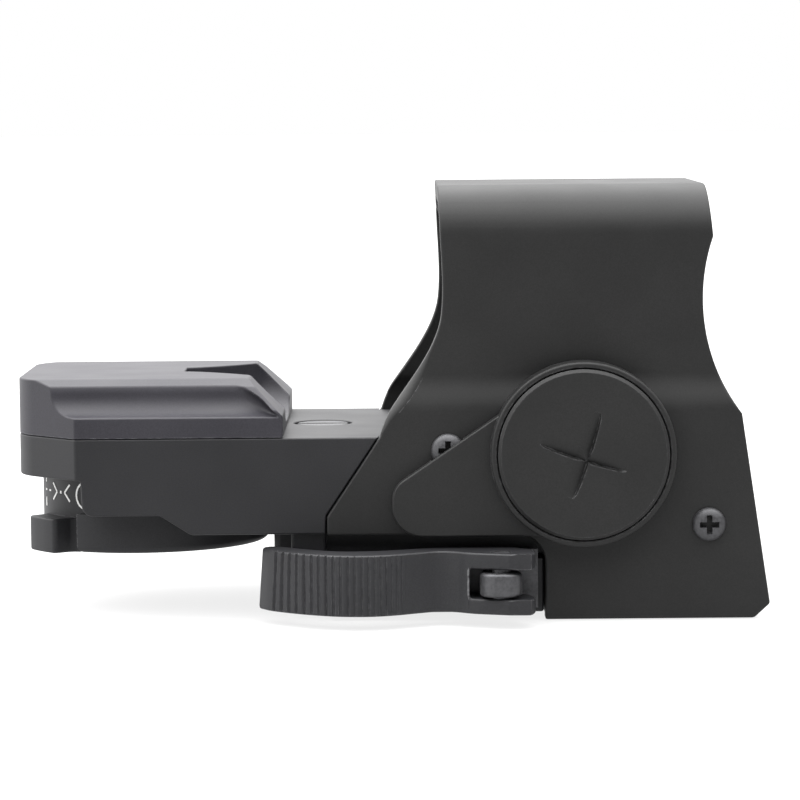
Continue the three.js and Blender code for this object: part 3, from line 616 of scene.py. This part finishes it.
# ------------------------------------------------------------------ main body
def arm_plan():
    """The arm from above: its rear corners are cut off and rounded."""
    rear_half = 13.5
    chamfer = ARM_HALF - rear_half
    return outline([
        (0, ARM_HALF), (REAR_X + chamfer, ARM_HALF), (REAR_X, rear_half, 8), (REAR_X, -rear_half, 8),
        (REAR_X + chamfer, -ARM_HALF), (0, -ARM_HALF),
    ])


def make_body():
    def edge(z):
        return PLATE_REAR.x - SEAM + max(0, z - PLATE_REAR.y) * math.tan(REAR_LEAN)

    arm = prism("y", outline([
        (REAR_X - 1, DECK_Z), (REAR_X - 1, 12.8), (-58.5, 12.8), (-58.3, 7.8, 1.6), (-47.5, 7.8),
        (-43.2, ARM_BOTTOM_Z), (edge(0), ARM_BOTTOM_Z), (edge(0), PLATE_REAR.y), (edge(DECK_Z), DECK_Z),
    ]), -30, 30)
    arm = common(arm, prism("z", arm_plan(), 0, 30))
    arm = cut(
        arm,
        bar("z", SELECTOR.x, 0, DRUM_RADIUS + 0.5, 0, 12.5, steps=120),
        bar("z", SELECTOR.x, 0, BASE_RADIUS + 0.35, 0, 7.6, steps=120),
        bar("z", -25.2, 0, 4.2, DECK_Z - 1.2, DECK_Z + 1),
        bar("y", -27.5, 11.2, 3.5, ARM_HALF - 1.2, ARM_HALF + 1),
    )
    arm = softened(arm, 0.28, 3)
    core_half = PLATE_INNER - SEAM
    core = prism("y", outline([
        (-32, DECK_Z), (-32, 5.6), (-25.2, ARM_BOTTOM_Z), (-25.2, -6.6), (36.3, -6.6), (32.7, DECK_Z),
    ]), -core_half, core_half)
    platform_half = WALL_INNER - SEAM
    platform = prism("y", outline([
        (8.4, DECK_Z - 1), (32.8, DECK_Z - 1), (32.6, 19.4), (31, 23.2, 1), (13, 23.2, 2), (8.4, DECK_Z),
    ]), -platform_half, platform_half)
    groove = prism("x", outline([
        (-7.75, 0), (7.75, 0), (10.75, -3), (10.75, -3.2), (9.45, -4.5), (9.45, -9), (-10.85, -9),
        (-10.85, -3.1),
    ]), -40, 45)
    jaw_bay = prism("x", outline([
        (-7.75, -0.1), (-9, 0.9), (-9, 1.9), (-23, 1.9), (-23, -9), (-7.75, -9),
    ]), -30, 6)
    core = cut(
        unite(core, platform),
        groove,
        jaw_bay,
        bar("y", BOLT_X, BOLT_Z, 2.5, -24, 24),
        bar("y", CAP.x, CAP.z, 12.2, -21, -18.2),
        bar("z", -25.2, 0, 4.2, DECK_Z - 1.2, DECK_Z + 1),
        block(-37.5, -5.5, 8.2, -20, 5.5, DECK_Z - 1.6),
    )
    core = softened(core, 0.3)
    post = prism("z", rectangle(-29.3, -21.3, -24.4, -10, 0.5), -1, 6, 0.3)
    pad = prism("z", rectangle(-32.2, -8, -24.2, 19.5, 1), 1, 6, 0.3)
    finish("sight_body", unite(arm, core, post, pad), BODY_BLACK, "housing", ["main_body"])


# ------------------------------------------------------------------ rear cover
def light_channel():
    """Trumpet-shaped cutter from the emitter window to the cover's front."""
    start = -45
    flare_length = 10.5
    length = 16
    top = COVER_TOP + 1.5
    corners = 28
    squareness = 0.5
    levels = []
    for k in range(17):
        step = length * k / 16
        half = 3.5 + 8.1 * min(step / flare_length, 1) ** 1.5
        floor = 22.3 - 3.2 * step / length
        points = []
        for i in range(corners + 1):
            angle = math.pi * (1 + i / corners)
            across = math.copysign(abs(math.cos(angle)) ** squareness, math.cos(angle))
            down = abs(math.sin(angle)) ** squareness
            points.append(Vector((half * across, top - (top - floor) * down)))
        levels.append((start + step, points))
    return stack("x", levels)


def scoop(side):
    """Cutter for the hollow along one upper side of the cover, ending just short of its front."""
    ledge = 21.5
    wall = 18.8
    radius = 3.0
    section = [(30, ledge - 0.35), (22.6, ledge - 0.1)]
    hollow = arc(wall + radius, ledge + 0.1 + radius, radius, -math.pi / 2, -math.pi, 12)
    section += [(p.x, p.y) for p in hollow]
    section += [(wall - 0.02, 25), (wall - 0.25, 25.7), (wall - 0.9, 26.2)]
    section += [(wall - 1.8, 26.45), (wall - 2.6, 27.2)]
    levels = []
    for inner, z in section:
        front = -30.95 - max(0, z - ledge - 0.15)
        depth = max(0.2, ARM_HALF - inner)
        corners = [(-80, side * 31), (-80, side * inner)]
        corners += [(front, side * inner, min(2.4, depth * 0.8)), (front, side * 31)]
        levels.append((z, outline(corners, math.pi / 15)))
    return stack("z", levels)


def make_cover():
    bottom = DECK_Z + 0.07
    shell = common(
        prism("y", outline([
            (REAR_X - 0.05, bottom - 1), (-30.3, bottom - 1), (-30.3, 21.65, 0.5), (-35.15, COVER_TOP, 0.8),
            (REAR_X + 0.05, COVER_TOP),
        ]), -30, 30),
        prism("z", arm_plan(), 10, 40),
        prism("x", outline(mirrored([
            (ARM_HALF, 10), (ARM_HALF - 0.05, 22.4), (19.0, 25.5, 1), (16.3, COVER_TOP, 2),
        ])), -80, -20),
    )
    shell = cut(shell, scoop(1), scoop(-1), light_channel(), block(-47, -1.8, 22.3, -44, 1.8, 23.5))
    shell = trimmed(softened(shell, 0.22, 3, math.radians(38)), block(-80, -30, 10, -20, 30, bottom))
    finish("rear_cover", shell, COVER_BLACK, "housing", ["emitter_cover"])


# ------------------------------------------------------------------ curves and small shapes
def smooth_curve(points, steps):
    """Catmull-Rom curve through the points, as a list of vectors."""
    pts = [Vector(p) for p in points]
    ends = [2 * pts[0] - pts[1], *pts, 2 * pts[-1] - pts[-2]]
    out = []
    for a, b, c, d in zip(ends, ends[1:], ends[2:], ends[3:]):
        for k in range(steps):
            t = k / steps
            out.append(0.5 * (
                2 * b + (c - a) * t + (2 * a - 5 * b + 4 * c - d) * t ** 2 + (3 * b - a - 3 * c + d) * t ** 3
            ))
    out.append(pts[-1])
    return out


def sector(radius, inner, start, end, steps):
    """Part of a ring round the selector's axis."""
    outer = arc(SELECTOR.x, 0, radius, start, end, steps)
    return outer + arc(SELECTOR.x, 0, inner, end, start, steps)


def cross_outline(a, b):
    """A plus sign whose arms reach a from the middle and are 2 b wide."""
    corners = [(a, -b), (a, b), (b, b), (b, a), (-b, a), (-b, b), (-a, b), (-a, -b), (-b, -b), (-b, -a)]
    return [Vector(c) for c in [*corners, (b, -a), (b, -b)]]


def moved(points, x, y):
    return [p + Vector((x, y)) for p in points]


# ------------------------------------------------------------------ battery compartment
BEAD_RADIUS = 12.8
CAP_RADIUS = 11.8


def make_battery_housing():
    back = -PLATE_HALF - 0.05
    boss = prism("y", outline([
        (-15.2, 4.98, 4.2), (8, 4.98), (12, 8), (12, 20), (0.5, 22.4), (-15.2, 11.8, 3.5),
    ]), BOSS_FACE, back)
    bead_top = BOSS_FACE - 1.7
    bead = [(10.5, back), (BEAD_RADIUS, back), (BEAD_RADIUS, bead_top + 0.4)]
    bead += [(BEAD_RADIUS - 0.4 + 0.4 * math.cos(a), bead_top + 0.4 - 0.4 * math.sin(a))
             for a in (math.pi / 12 * k for k in range(1, 7))]
    bead += [(12.1, bead_top), (11.98, bead_top + 0.12), (11.98, BOSS_FACE), (10.5, BOSS_FACE)]
    ring = lathe("y", CAP.x, CAP.z, bead, 144)
    boss = cut(
        softened(boss, 0.3),
        bar("y", CAP.x, CAP.z, 11.98, -30, -20, steps=144),
        bar("y", REAR_SCREW.x, REAR_SCREW.z, 2.7, -24.5, -22),
    )
    floor = bar("y", CAP.x, CAP.z, 12.3, BOSS_FACE, back, steps=96)
    floor = cut(floor, bar("y", CAP.x, CAP.z, 10.5, -30, -20, steps=96))
    shell = unite(boss, ring, floor)
    finish("battery_boss", shell, HOOD_BLACK, "housing", ["battery_housing"])


def coin_slot(angle):
    """Cutter for one arm of the cross slot: a groove deepest along one side, running out at its ends."""
    half_length = 6.2
    levels = []
    for k in range(25):
        along = half_length * (k / 12 - 1)
        left = math.sqrt(max(0, 1 - (along / half_length) ** 2))
        deep = 0.02 + 0.85 * left
        soft = 0.75 + 0.4 * left
        crisp = -0.45 - 0.5 * left
        section = [(-1, soft), (0, soft), (deep, crisp + 0.2), (0, crisp), (-1, crisp)]
        levels.append((along, [Vector((CAP_FACE + into, across)) for into, across in section]))
    blade = stack("x", levels)
    blade.transform(Matrix.Translation((CAP.x, 0, CAP.z)) @ Matrix.Rotation(angle, 4, "Y"))
    return blade


def make_battery_cap():
    flange_back = BOSS_FACE - 0.95
    rim = 0.36
    profile = [(0, CAP_FACE), (CAP_RADIUS - rim - 0.06, CAP_FACE), (CAP_RADIUS - rim, CAP_FACE + 0.04),
               (CAP_RADIUS, CAP_FACE + rim), (CAP_RADIUS, flange_back), (10.2, flange_back), (10.2, -24.2),
               (0, -24.2)]
    cap = lathe("y", CAP.x, CAP.z, profile, 144)
    tilt = math.radians(18)
    cap = cut(cap, coin_slot(tilt), coin_slot(tilt - math.pi / 2))
    finish("battery_lid", cap, HOOD_BLACK, "cap", ["battery_cap"], math.radians(25))


# ------------------------------------------------------------------ reticle selector
TAB_ANGLE = math.radians(38.1)
TAB_RADIUS = 17.9


def tab_outline():
    """Knob flange seen from below: a lobe with hollow flanks and rounded corners."""
    lobe = math.radians(10.6)
    flank = math.radians(7)
    root = DRUM_RADIUS + 0.1
    corners = []
    for side in (-1, 1):
        part = []
        for k in range(8):
            over = k / 10
            hollow = 1 - math.sqrt(1 - over ** 2)
            part.append((root + (TAB_RADIUS - root) * hollow, side * (lobe + flank * (1 - over))))
        part.append((TAB_RADIUS, side * lobe, 0.75))
        part += [(TAB_RADIUS, side * lobe * share) for share in (0.6, 0.4, 0.2)]
        corners += part if side < 0 else part[::-1]
    middle = math.pi + TAB_ANGLE
    points = [
        (SELECTOR.x + radius * math.cos(middle + off), radius * math.sin(middle + off), *rounding)
        for radius, off, *rounding in corners
    ]
    inner = arc(SELECTOR.x, 0, DRUM_RADIUS - 1.1, middle + lobe + flank, middle - lobe - flank, 20)
    return outline(points + [tuple(p) for p in inner], math.radians(15))


def make_selector_knob():
    drum = cut(
        bar("z", SELECTOR.x, 0, DRUM_RADIUS, 3.2, 12.3, 0.2, steps=120),
        bar("z", SELECTOR.x, 0, 11.4, 3, 10.8),
    )
    hub = bar("z", SELECTOR.x, 0, 4, 3.2, 11)
    tab = prism("z", tab_outline(), 1.5, 6.4, 0.25, 0.35)
    knob = cut(unite(drum, tab, hub), bar("z", SELECTOR.x, 0, 2.05, 3, 13))
    finish("selector_drum", knob, BODY_BLACK, "selector", ["selector_knob"])


def drum_stroke(start, end, width=0.26):
    """A thin raised stroke on the drum between two (angle from the rear in degrees, height) points."""
    steps = 4
    a = Vector(start)
    b = Vector(end)
    per_degree = math.radians(1) * DRUM_RADIUS
    along = Vector(((b.x - a.x) * per_degree, b.y - a.y)).normalized()
    side = Vector((-along.y / per_degree, along.x)) * width / 2
    verts = []
    for k in range(steps + 1):
        middle = a.lerp(b, k / steps)
        for radius in (DRUM_RADIUS - 0.08, DRUM_RADIUS + 0.05):
            for edge in (middle - side, middle + side):
                angle = math.pi + math.radians(edge.x)
                verts.append((SELECTOR.x + radius * math.cos(angle), radius * math.sin(angle), edge.y))
    faces = [[0, 1, 3, 2], [4 * steps, 4 * steps + 1, 4 * steps + 3, 4 * steps + 2]]
    for k in range(steps):
        for i, j in ((0, 1), (1, 3), (3, 2), (2, 0)):
            faces.append([4 * k + i, 4 * k + j, 4 * k + 4 + j, 4 * k + 4 + i])
    return closed_mesh(verts, faces)


def make_marks():
    """Dial marks for the aiming patterns: a broken cross, a dot between brackets and a ring."""
    mid = 9.8
    strokes = []
    for angle in (20.6, 27):
        strokes.append(drum_stroke((angle - 1, mid), (angle + 1, mid)))
    for low, high in ((7.4, 8.7), (10.9, 12.1)):
        strokes.append(drum_stroke((20.6, low), (20.6, high)))
    for tip, end in ((36, 31.5), (43.3, 47.8)):
        strokes.append(drum_stroke((end, mid - 1.2), (tip, mid)))
        strokes.append(drum_stroke((end, mid + 1.2), (tip, mid)))
    strokes.append(drum_stroke((39.1, mid), (40.4, mid), 0.4))
    ring = [
        (59.8 + 6.8 * math.cos(a), mid - 0.2 + 1.9 * math.sin(a))
        for a in (math.pi * 2 * k / 20 for k in range(21))
    ]
    strokes += [drum_stroke(p, q) for p, q in zip(ring, ring[1:])]
    finish("drum_marks", together(*strokes), WHITE_PAINT, "selector", [])


def make_selector_base():
    reach = math.pi - math.radians(62.5)
    inner = DRUM_RADIUS + 0.3
    wall = prism("z", sector(BASE_RADIUS, inner, -reach, reach, 90), 2, 7.5, 0.15, 0.9, steps=6)
    plate = bar("z", SELECTOR.x, 0, 13.2, 2, 3, steps=96)
    bridge = prism("z", sector(BASE_RADIUS - 1.2, 12, -reach, reach, 90), 2, 3)
    pocket = bar("z", SELECTOR.x, 0, 2.2, 0, 4)
    shell = cut(unite(wall, plate, bridge), pocket)
    finish("selector_skirt", shell, BODY_BLACK, "housing", ["selector_base"])


# ------------------------------------------------------------------ screws
def make_pan_screw(node, side):
    """Cross-recessed pan head on a short shank."""
    spot = place_of(node)
    face = PLATE_HALF + 0.03
    head = 2.32
    angles = [math.pi / 20 * k for k in range(11)]
    crown = [(head * math.cos(a) ** 0.8, face + 0.2 + 1.0 * math.sin(a)) for a in angles]
    profile = [(0, 17), (1.1, 17), (1.1, face), (head, face), *crown[:-1], (0, face + 1.2)]
    body = lathe("y", spot.x, spot.z, [(r, side * h) for r, h in profile], 48)
    recess = stack("y", [
        (side * (face + 1.6), moved(cross_outline(1.5, 0.42), spot.x, spot.z)),
        (side * (face - 0.6), moved(cross_outline(0.9, 0.28), spot.x, spot.z)),
    ])
    body = cut(body, recess)
    name = node.replace("screw", "bolt_head")
    finish(name, body, SCREW_BLACK, "housing", [node], math.radians(30))


def make_slotted_screw(name, node, axis, face, shank_end, head, shank, body):
    """Slotted head whose top is at face, on a shank that ends at shank_end."""
    spot = place_of(node)
    u, v = (spot.x, spot.y) if axis == "z" else (spot.x, spot.z)
    profile = [(0, shank_end), (shank, shank_end), (shank, face - 1), (head, face - 1), (head, face - 0.25),
               (head - 0.25, face), (0, face)]
    screw = lathe(axis, u, v, profile, 64)
    slot = prism(axis, rectangle(u - 6, v - 0.45, u + 6, v + 0.45), face - 0.5, face + 1)
    screw = cut(screw, slot)
    finish(name, screw, SCREW_BLACK, body, [node], math.radians(30))


# ------------------------------------------------------------------ clamp
PIVOT_Y = -28.9
LEVER_BOTTOM = -5.2
LEVER_TOP = 3.3


def lever_outer():
    """Outer side of the lever in plan, from the fork's end to the grip's tip."""
    return smooth_curve([
        (0.8, -31.2), (-3.9, -29.6), (-6.5, -27.9), (-8.7, -27.3), (-11.5, -28.6), (-14.2, -30.2),
        (-17, -31.3), (-19.7, -31.6), (-22.6, -31.2), (-25.2, -30.2), (-27.8, -28.7), (-30.2, -26.8),
        (-32, -25), (-33.2, -23),
    ], 24)


def lever_inner():
    """Inner side of the lever in plan: round the tip, along the grip and round the cam."""
    grip = smooth_curve([
        (-33.3, -21.5), (-32.3, -20.6), (-30.5, -21.2), (-27, -24), (-23, -26.3), (-19, -26.6),
        (-15, -25.6), (-11.5, -24.2), (-8.7, -23.4), (-5, -23.1),
    ], 6)
    cam = []
    for k in range(25):
        angle = math.radians(90 - 120 * k / 24)
        radius = 4.75 + max(0, angle / (math.pi / 2))
        cam.append(Vector((BOLT_X + radius * math.cos(angle), PIVOT_Y + radius * math.sin(angle))))
    return grip + cam + [Vector((2.6, -31.3))]


def ribbed(curve):
    """The curve with V-grooves along the grip, closer and shallower away from the tip."""
    depth = 0.36
    width = 0.27
    phase = 0
    out = [curve[0]]
    for before, p, after in zip(curve, curve[1:], curve[2:]):
        share = min(1, max(0, (-13 - p.x) / 18))
        phase += (p - before).length / (0.72 + 0.6 * share)
        on_grip = -31.9 < p.x < -13.2
        notch = max(0, 1 - abs(phase % 1 - 0.5) / width)
        along = (after - before).normalized()
        inward = Vector((along.y, -along.x))
        out.append(p + inward * depth * (0.3 + 0.7 * share) * notch * on_grip)
    out.append(curve[-1])
    return out


def make_lever():
    outer = lever_outer()
    inner = lever_inner()
    blank = cut(
        prism("z", outer[::6] + inner, LEVER_BOTTOM, LEVER_TOP),
        block(-4.6, -35, -3.05, 10, -20, 1.05),
    )
    blank = softened(blank, 0.4)
    teeth = prism("z", ribbed(outer) + [p + Vector((0, 0.3)) for p in inner], -7, 5)
    lever = cut(common(blank, teeth), bar("z", BOLT_X, PIVOT_Y, 1.4, -8, 8, steps=32))
    for vertex in lever.vertices:
        reach = max(0, (-27 - vertex.co.x) / 6)
        vertex.co.x -= 0.065 * (LEVER_TOP - vertex.co.z) * reach
    finish("throw_lever", lever, LEVER_BLACK, "lever", ["qr_lever"], math.radians(28))


def make_cross_bolt():
    low = BOLT_Z - 1.65
    high = BOLT_Z + 1.65
    eye = prism("z", rectangle(BOLT_X - 2.9, PIVOT_Y - 2.4, BOLT_X + 2.9, PIVOT_Y + 2.4, 2.2), low, high, 0.5)
    neck = common(
        bar("y", BOLT_X, BOLT_Z, 2.3, -27.3, -22.7, steps=48),
        block(BOLT_X - 4, -30, low, BOLT_X + 4, -20, high),
    )
    shank = bar("y", BOLT_X, BOLT_Z, 2.3, -22.8, 20.8, steps=48)
    thread = bar("y", BOLT_X, BOLT_Z, 1.9, 20.5, 24.2, 0.3, 0, steps=48)
    bolt = cut(unite(eye, neck, shank, thread), bar("z", BOLT_X, PIVOT_Y, 1.35, -8, 8, steps=32))
    finish("clamp_bolt", bolt, SCREW_BLACK, "housing", ["cross_bolt"])


def make_nut():
    nut = cut(
        bar("y", BOLT_X, BOLT_Z, 3.9, 21, 24, 0.3),
        bar("y", BOLT_X, BOLT_Z, 2, 20, 26),
        block(BOLT_X - 5, 23.3, BOLT_Z - 0.6, BOLT_X + 5, 25, BOLT_Z + 0.6),
    )
    finish("slotted_nut", nut, SCREW_BLACK, "housing", ["cross_bolt_nut"])


def make_jaw():
    jaw = cut(
        prism("x", outline([
            (-21.85, -6.1, 0.6), (-9.45, -6.1), (-9.45, -4.55), (-10.95, -3.25), (-10.95, 1.5), (-21.85, 1.5),
        ]), -23.9, 5.85),
        bar("y", BOLT_X, BOLT_Z, 2.5, -25, -5),
    )
    finish("sliding_jaw", softened(jaw, 0.3), BODY_BLACK, "jaw", ["clamp_jaw"])


# ------------------------------------------------------------------ lens group
LENS = Vector((23.6, 0, 37))
LENS_TURN = Matrix.Translation(LENS) @ Matrix.Rotation(math.radians(-5.1), 4, "Y")
LENS_HALF_WIDTH = 16.5
LENS_HALF_HEIGHT = 12.2


def tilted(mesh):
    mesh.transform(LENS_TURN)
    return mesh


def lens_opening(grow, radius):
    width = LENS_HALF_WIDTH + grow
    height = LENS_HALF_HEIGHT + grow
    return rectangle(-width, -height, width, height, radius)


def make_lens():
    """Rounded slab whose two faces are parts of spheres bulging forward."""
    curve = 138
    columns = 40
    rows = 30
    verts = []
    for face in (-1.5, 1.5):
        for j in range(rows + 1):
            for i in range(columns + 1):
                y = 2 * LENS_HALF_WIDTH * (i / columns - 0.5)
                z = 2 * LENS_HALF_HEIGHT * (j / rows - 0.5)
                verts.append((face - (y * y + z * z) / (2 * curve), y, z))
    wide = columns + 1
    layer = wide * (rows + 1)
    faces = []
    for base in (0, layer):
        for j in range(rows):
            for i in range(columns):
                a = base + j * wide + i
                faces.append([a, a + 1, a + wide + 1, a + wide])
    rim = [i for i in range(wide)] + [j * wide + columns for j in range(1, rows + 1)]
    rim += [rows * wide + i for i in range(columns - 1, -1, -1)] + [j * wide for j in range(rows - 1, 0, -1)]
    for a, b in zip(rim, rim[1:] + rim[:1]):
        faces.append([a, b, b + layer, a + layer])
    glass = common(closed_mesh(verts, faces), prism("x", lens_opening(0, 3.5), -10, 10))
    finish("front_glass", tilted(glass), GLASS, "housing", ["lens"], math.radians(25))


def make_lens_frame():
    half = WALL_INNER - SEAM
    top = HOOD_TOP - 2.6 - SEAM
    low = 23.2 + SEAM
    frame_ring = cut(
        prism("x", outline([(-half, low), (half, low), (half, top, 4.6), (-half, top, 4.6)]), 19.2, 27.4),
        tilted(prism("x", lens_opening(-1.1, 2.5), -10, 10)),
        tilted(prism("x", lens_opening(0.3, 3.5), -3.1, 10)),
        bar("y", CAP.x, CAP.z, 12.2, -21, -18.2),
    )
    finish("glass_frame", softened(frame_ring, 0.25), HOOD_BLACK, "housing", ["lens_frame"])


# ------------------------------------------------------------------ brightness keypad
BUTTON_RADIUS = 3.0
BUTTONS = ["brightness_up_button", "brightness_down_button"]


def make_keypad():
    bezel = cut(
        prism("y", rectangle(2.5, 3.8, 23.5, 14.2, 3), PLATE_HALF + 0.05, PLATE_HALF + 1.2),
        *[bar("y", place_of(n).x, place_of(n).z, 3.3, 22, 26) for n in BUTTONS],
    )
    finish("keypad_frame", softened(bezel, 0.3), BODY_BLACK, "housing", ["keypad_bezel"])


def make_button(node, body, raised):
    """Domed rubber button with a raised minus or plus bar."""
    spot = place_of(node)
    base = PLATE_HALF + 0.8
    profile = [(0, base), (BUTTON_RADIUS, base), (BUTTON_RADIUS, base + 0.7)]
    profile += [(BUTTON_RADIUS - 0.35 + 0.35 * math.cos(a), base + 0.7 + 0.2 * math.sin(a))
                for a in (math.pi / 8, math.pi / 4, math.pi * 3 / 8, math.pi / 2)]
    profile += [(0, base + 0.95)]
    button = lathe("y", spot.x, spot.z, profile, 64)
    signs = [prism("y", rectangle(spot.x - 1.3, spot.z - 0.28, spot.x + 1.3, spot.z + 0.28, 0.2),
                   base + 0.8, base + 1.18)]
    if raised == "plus":
        signs.append(prism("y", rectangle(spot.x - 0.28, spot.z - 1.3, spot.x + 0.28, spot.z + 1.3, 0.2),
                           base + 0.8, base + 1.18))
    finish(body + "_cap", unite(button, *signs), RUBBER, body, [node], math.radians(35))


# ------------------------------------------------------------------ CAD pieces kept as they are
def dress(material, rim, *nodes):
    """Gives CAD nodes a material and a small round on their edges."""
    for node in nodes:
        obj = bpy.data.objects[node]
        obj.data.materials.clear()
        obj.data.materials.append(material)
        if rim:
            bevel = obj.modifiers.new("rim", "BEVEL")
            bevel.width = rim * MM
            bevel.segments = 2
            bevel.limit_method = "ANGLE"
            bevel.angle_limit = math.radians(50)


# ------------------------------------------------------------------ stage and light
def make_floor():
    mesh = bpy.data.meshes.new("floor")
    size = 6
    gap = 0.0002
    height = CAD_BOX[0].z - gap
    corners = [(-size, -size, height), (size, -size, height), (size, size, height), (-size, size, height)]
    mesh.from_pydata(corners, [], [(0, 1, 2, 3)])
    nodes = Nodes("floor_white")
    nodes.color(nodes.grey_ramp(nodes.noise(3, 2), 0.14, 0.16, 0.3, 0.7))
    nodes.set(Roughness=0.9, Specular_IOR_Level=0.1, Emission_Color=(1, 1, 1, 1), Emission_Strength=0.8)
    mesh.materials.append(nodes.material)
    floor = bpy.data.objects.new("floor", mesh)
    bpy.context.scene.collection.objects.link(floor)


FRONT_LIGHT = 0.04
BACK_LIGHT = 1.7
LEFT_LIGHT = 2.2
OVERHEAD_LIGHT = 7


def make_world():
    """Soft light: strong overhead, brighter behind and on the left, and plain white to the camera."""
    world = bpy.data.worlds.new("studio")
    world.use_nodes = True
    tree = world.node_tree
    background = tree.nodes["Background"]
    background.inputs["Color"].default_value = (1, 1, 1, 1)

    def add(kind):
        return tree.nodes.new("ShaderNode" + kind)

    def ranged(source, start, end, low, high):
        node = add("MapRange")
        node.interpolation_type = "SMOOTHSTEP"
        for name, value in (("From Min", start), ("From Max", end), ("To Min", low), ("To Max", high)):
            node.inputs[name].default_value = value
        tree.links.new(source, node.inputs["Value"])
        return node.outputs[0]

    split = add("SeparateXYZ")
    tree.links.new(add("TexCoord").outputs["Generated"], split.inputs[0])
    back = ranged(split.outputs["Y"], -1, 1, FRONT_LIGHT, BACK_LIGHT)
    overhead = ranged(split.outputs["Z"], 0.3, 1, 0, OVERHEAD_LIGHT)
    left = ranged(split.outputs["X"], -0.3, -1, 0, LEFT_LIGHT)
    total = back
    for part in (overhead, left):
        added = add("Math")
        tree.links.new(total, added.inputs[0])
        tree.links.new(part, added.inputs[1])
        total = added.outputs[0]
    seen = add("Mix")
    tree.links.new(add("LightPath").outputs["Is Camera Ray"], seen.inputs[0])
    tree.links.new(total, seen.inputs[2])
    seen.inputs[3].default_value = 1.0
    tree.links.new(seen.outputs[0], background.inputs["Strength"])
    bpy.context.scene.world = world


make_hood()
make_body()
make_cover()
make_battery_housing()
make_battery_cap()
make_selector_knob()
make_marks()
make_selector_base()
for corner in ("front", "rear"):
    make_pan_screw("hood_screw_" + corner + "_right", -1)
    make_pan_screw("hood_screw_" + corner + "_left", 1)
make_slotted_screw(
    "elevation_head", "elevation_screw", "z", DECK_Z - 0.1, 12.8, 3.9, 1.6, "elevation_adjuster"
)
make_slotted_screw("windage_head", "windage_screw", "y", ARM_HALF - 0.1, 3.3, 3.2, 1.5, "windage_adjuster")
make_lever()
make_cross_bolt()
make_nut()
make_jaw()
make_lens()
make_lens_frame()
make_keypad()
make_button("brightness_up_button", "up_button", "plus")
make_button("brightness_down_button", "down_button", "minus")
dress(SCREW_BLACK, 0.1, "lever_pivot_pin")
dress(SCREW_BLACK, 0.15, "mask_drum", "emitter_carriage", "thrust_plate")
dress(SCREW_BLACK, 0.15, "cover_screw_right", "cover_screw_left")
dress(STEEL, 0.1, "selector_shaft", "coin_battery")
dress(STEEL, 0, "elevation_spring", "windage_spring", "detent_ball")
dress(BRASS, 0.1, "elevation_stage")
dress(BRASS, 0, "battery_contact_spring")
dress(HOOD_BLACK, 0.1, "lens_retainer")
dress(BOARD, 0, "circuit_board")
dress(RED_LENS, 0, "led_emitter")
dress(RUBBER, 0.1, "battery_cap_oring")
dress(GLASS, 0, "emitter_window")

make_floor()
make_world()
bpy.context.scene.view_settings.view_transform = "Standard"
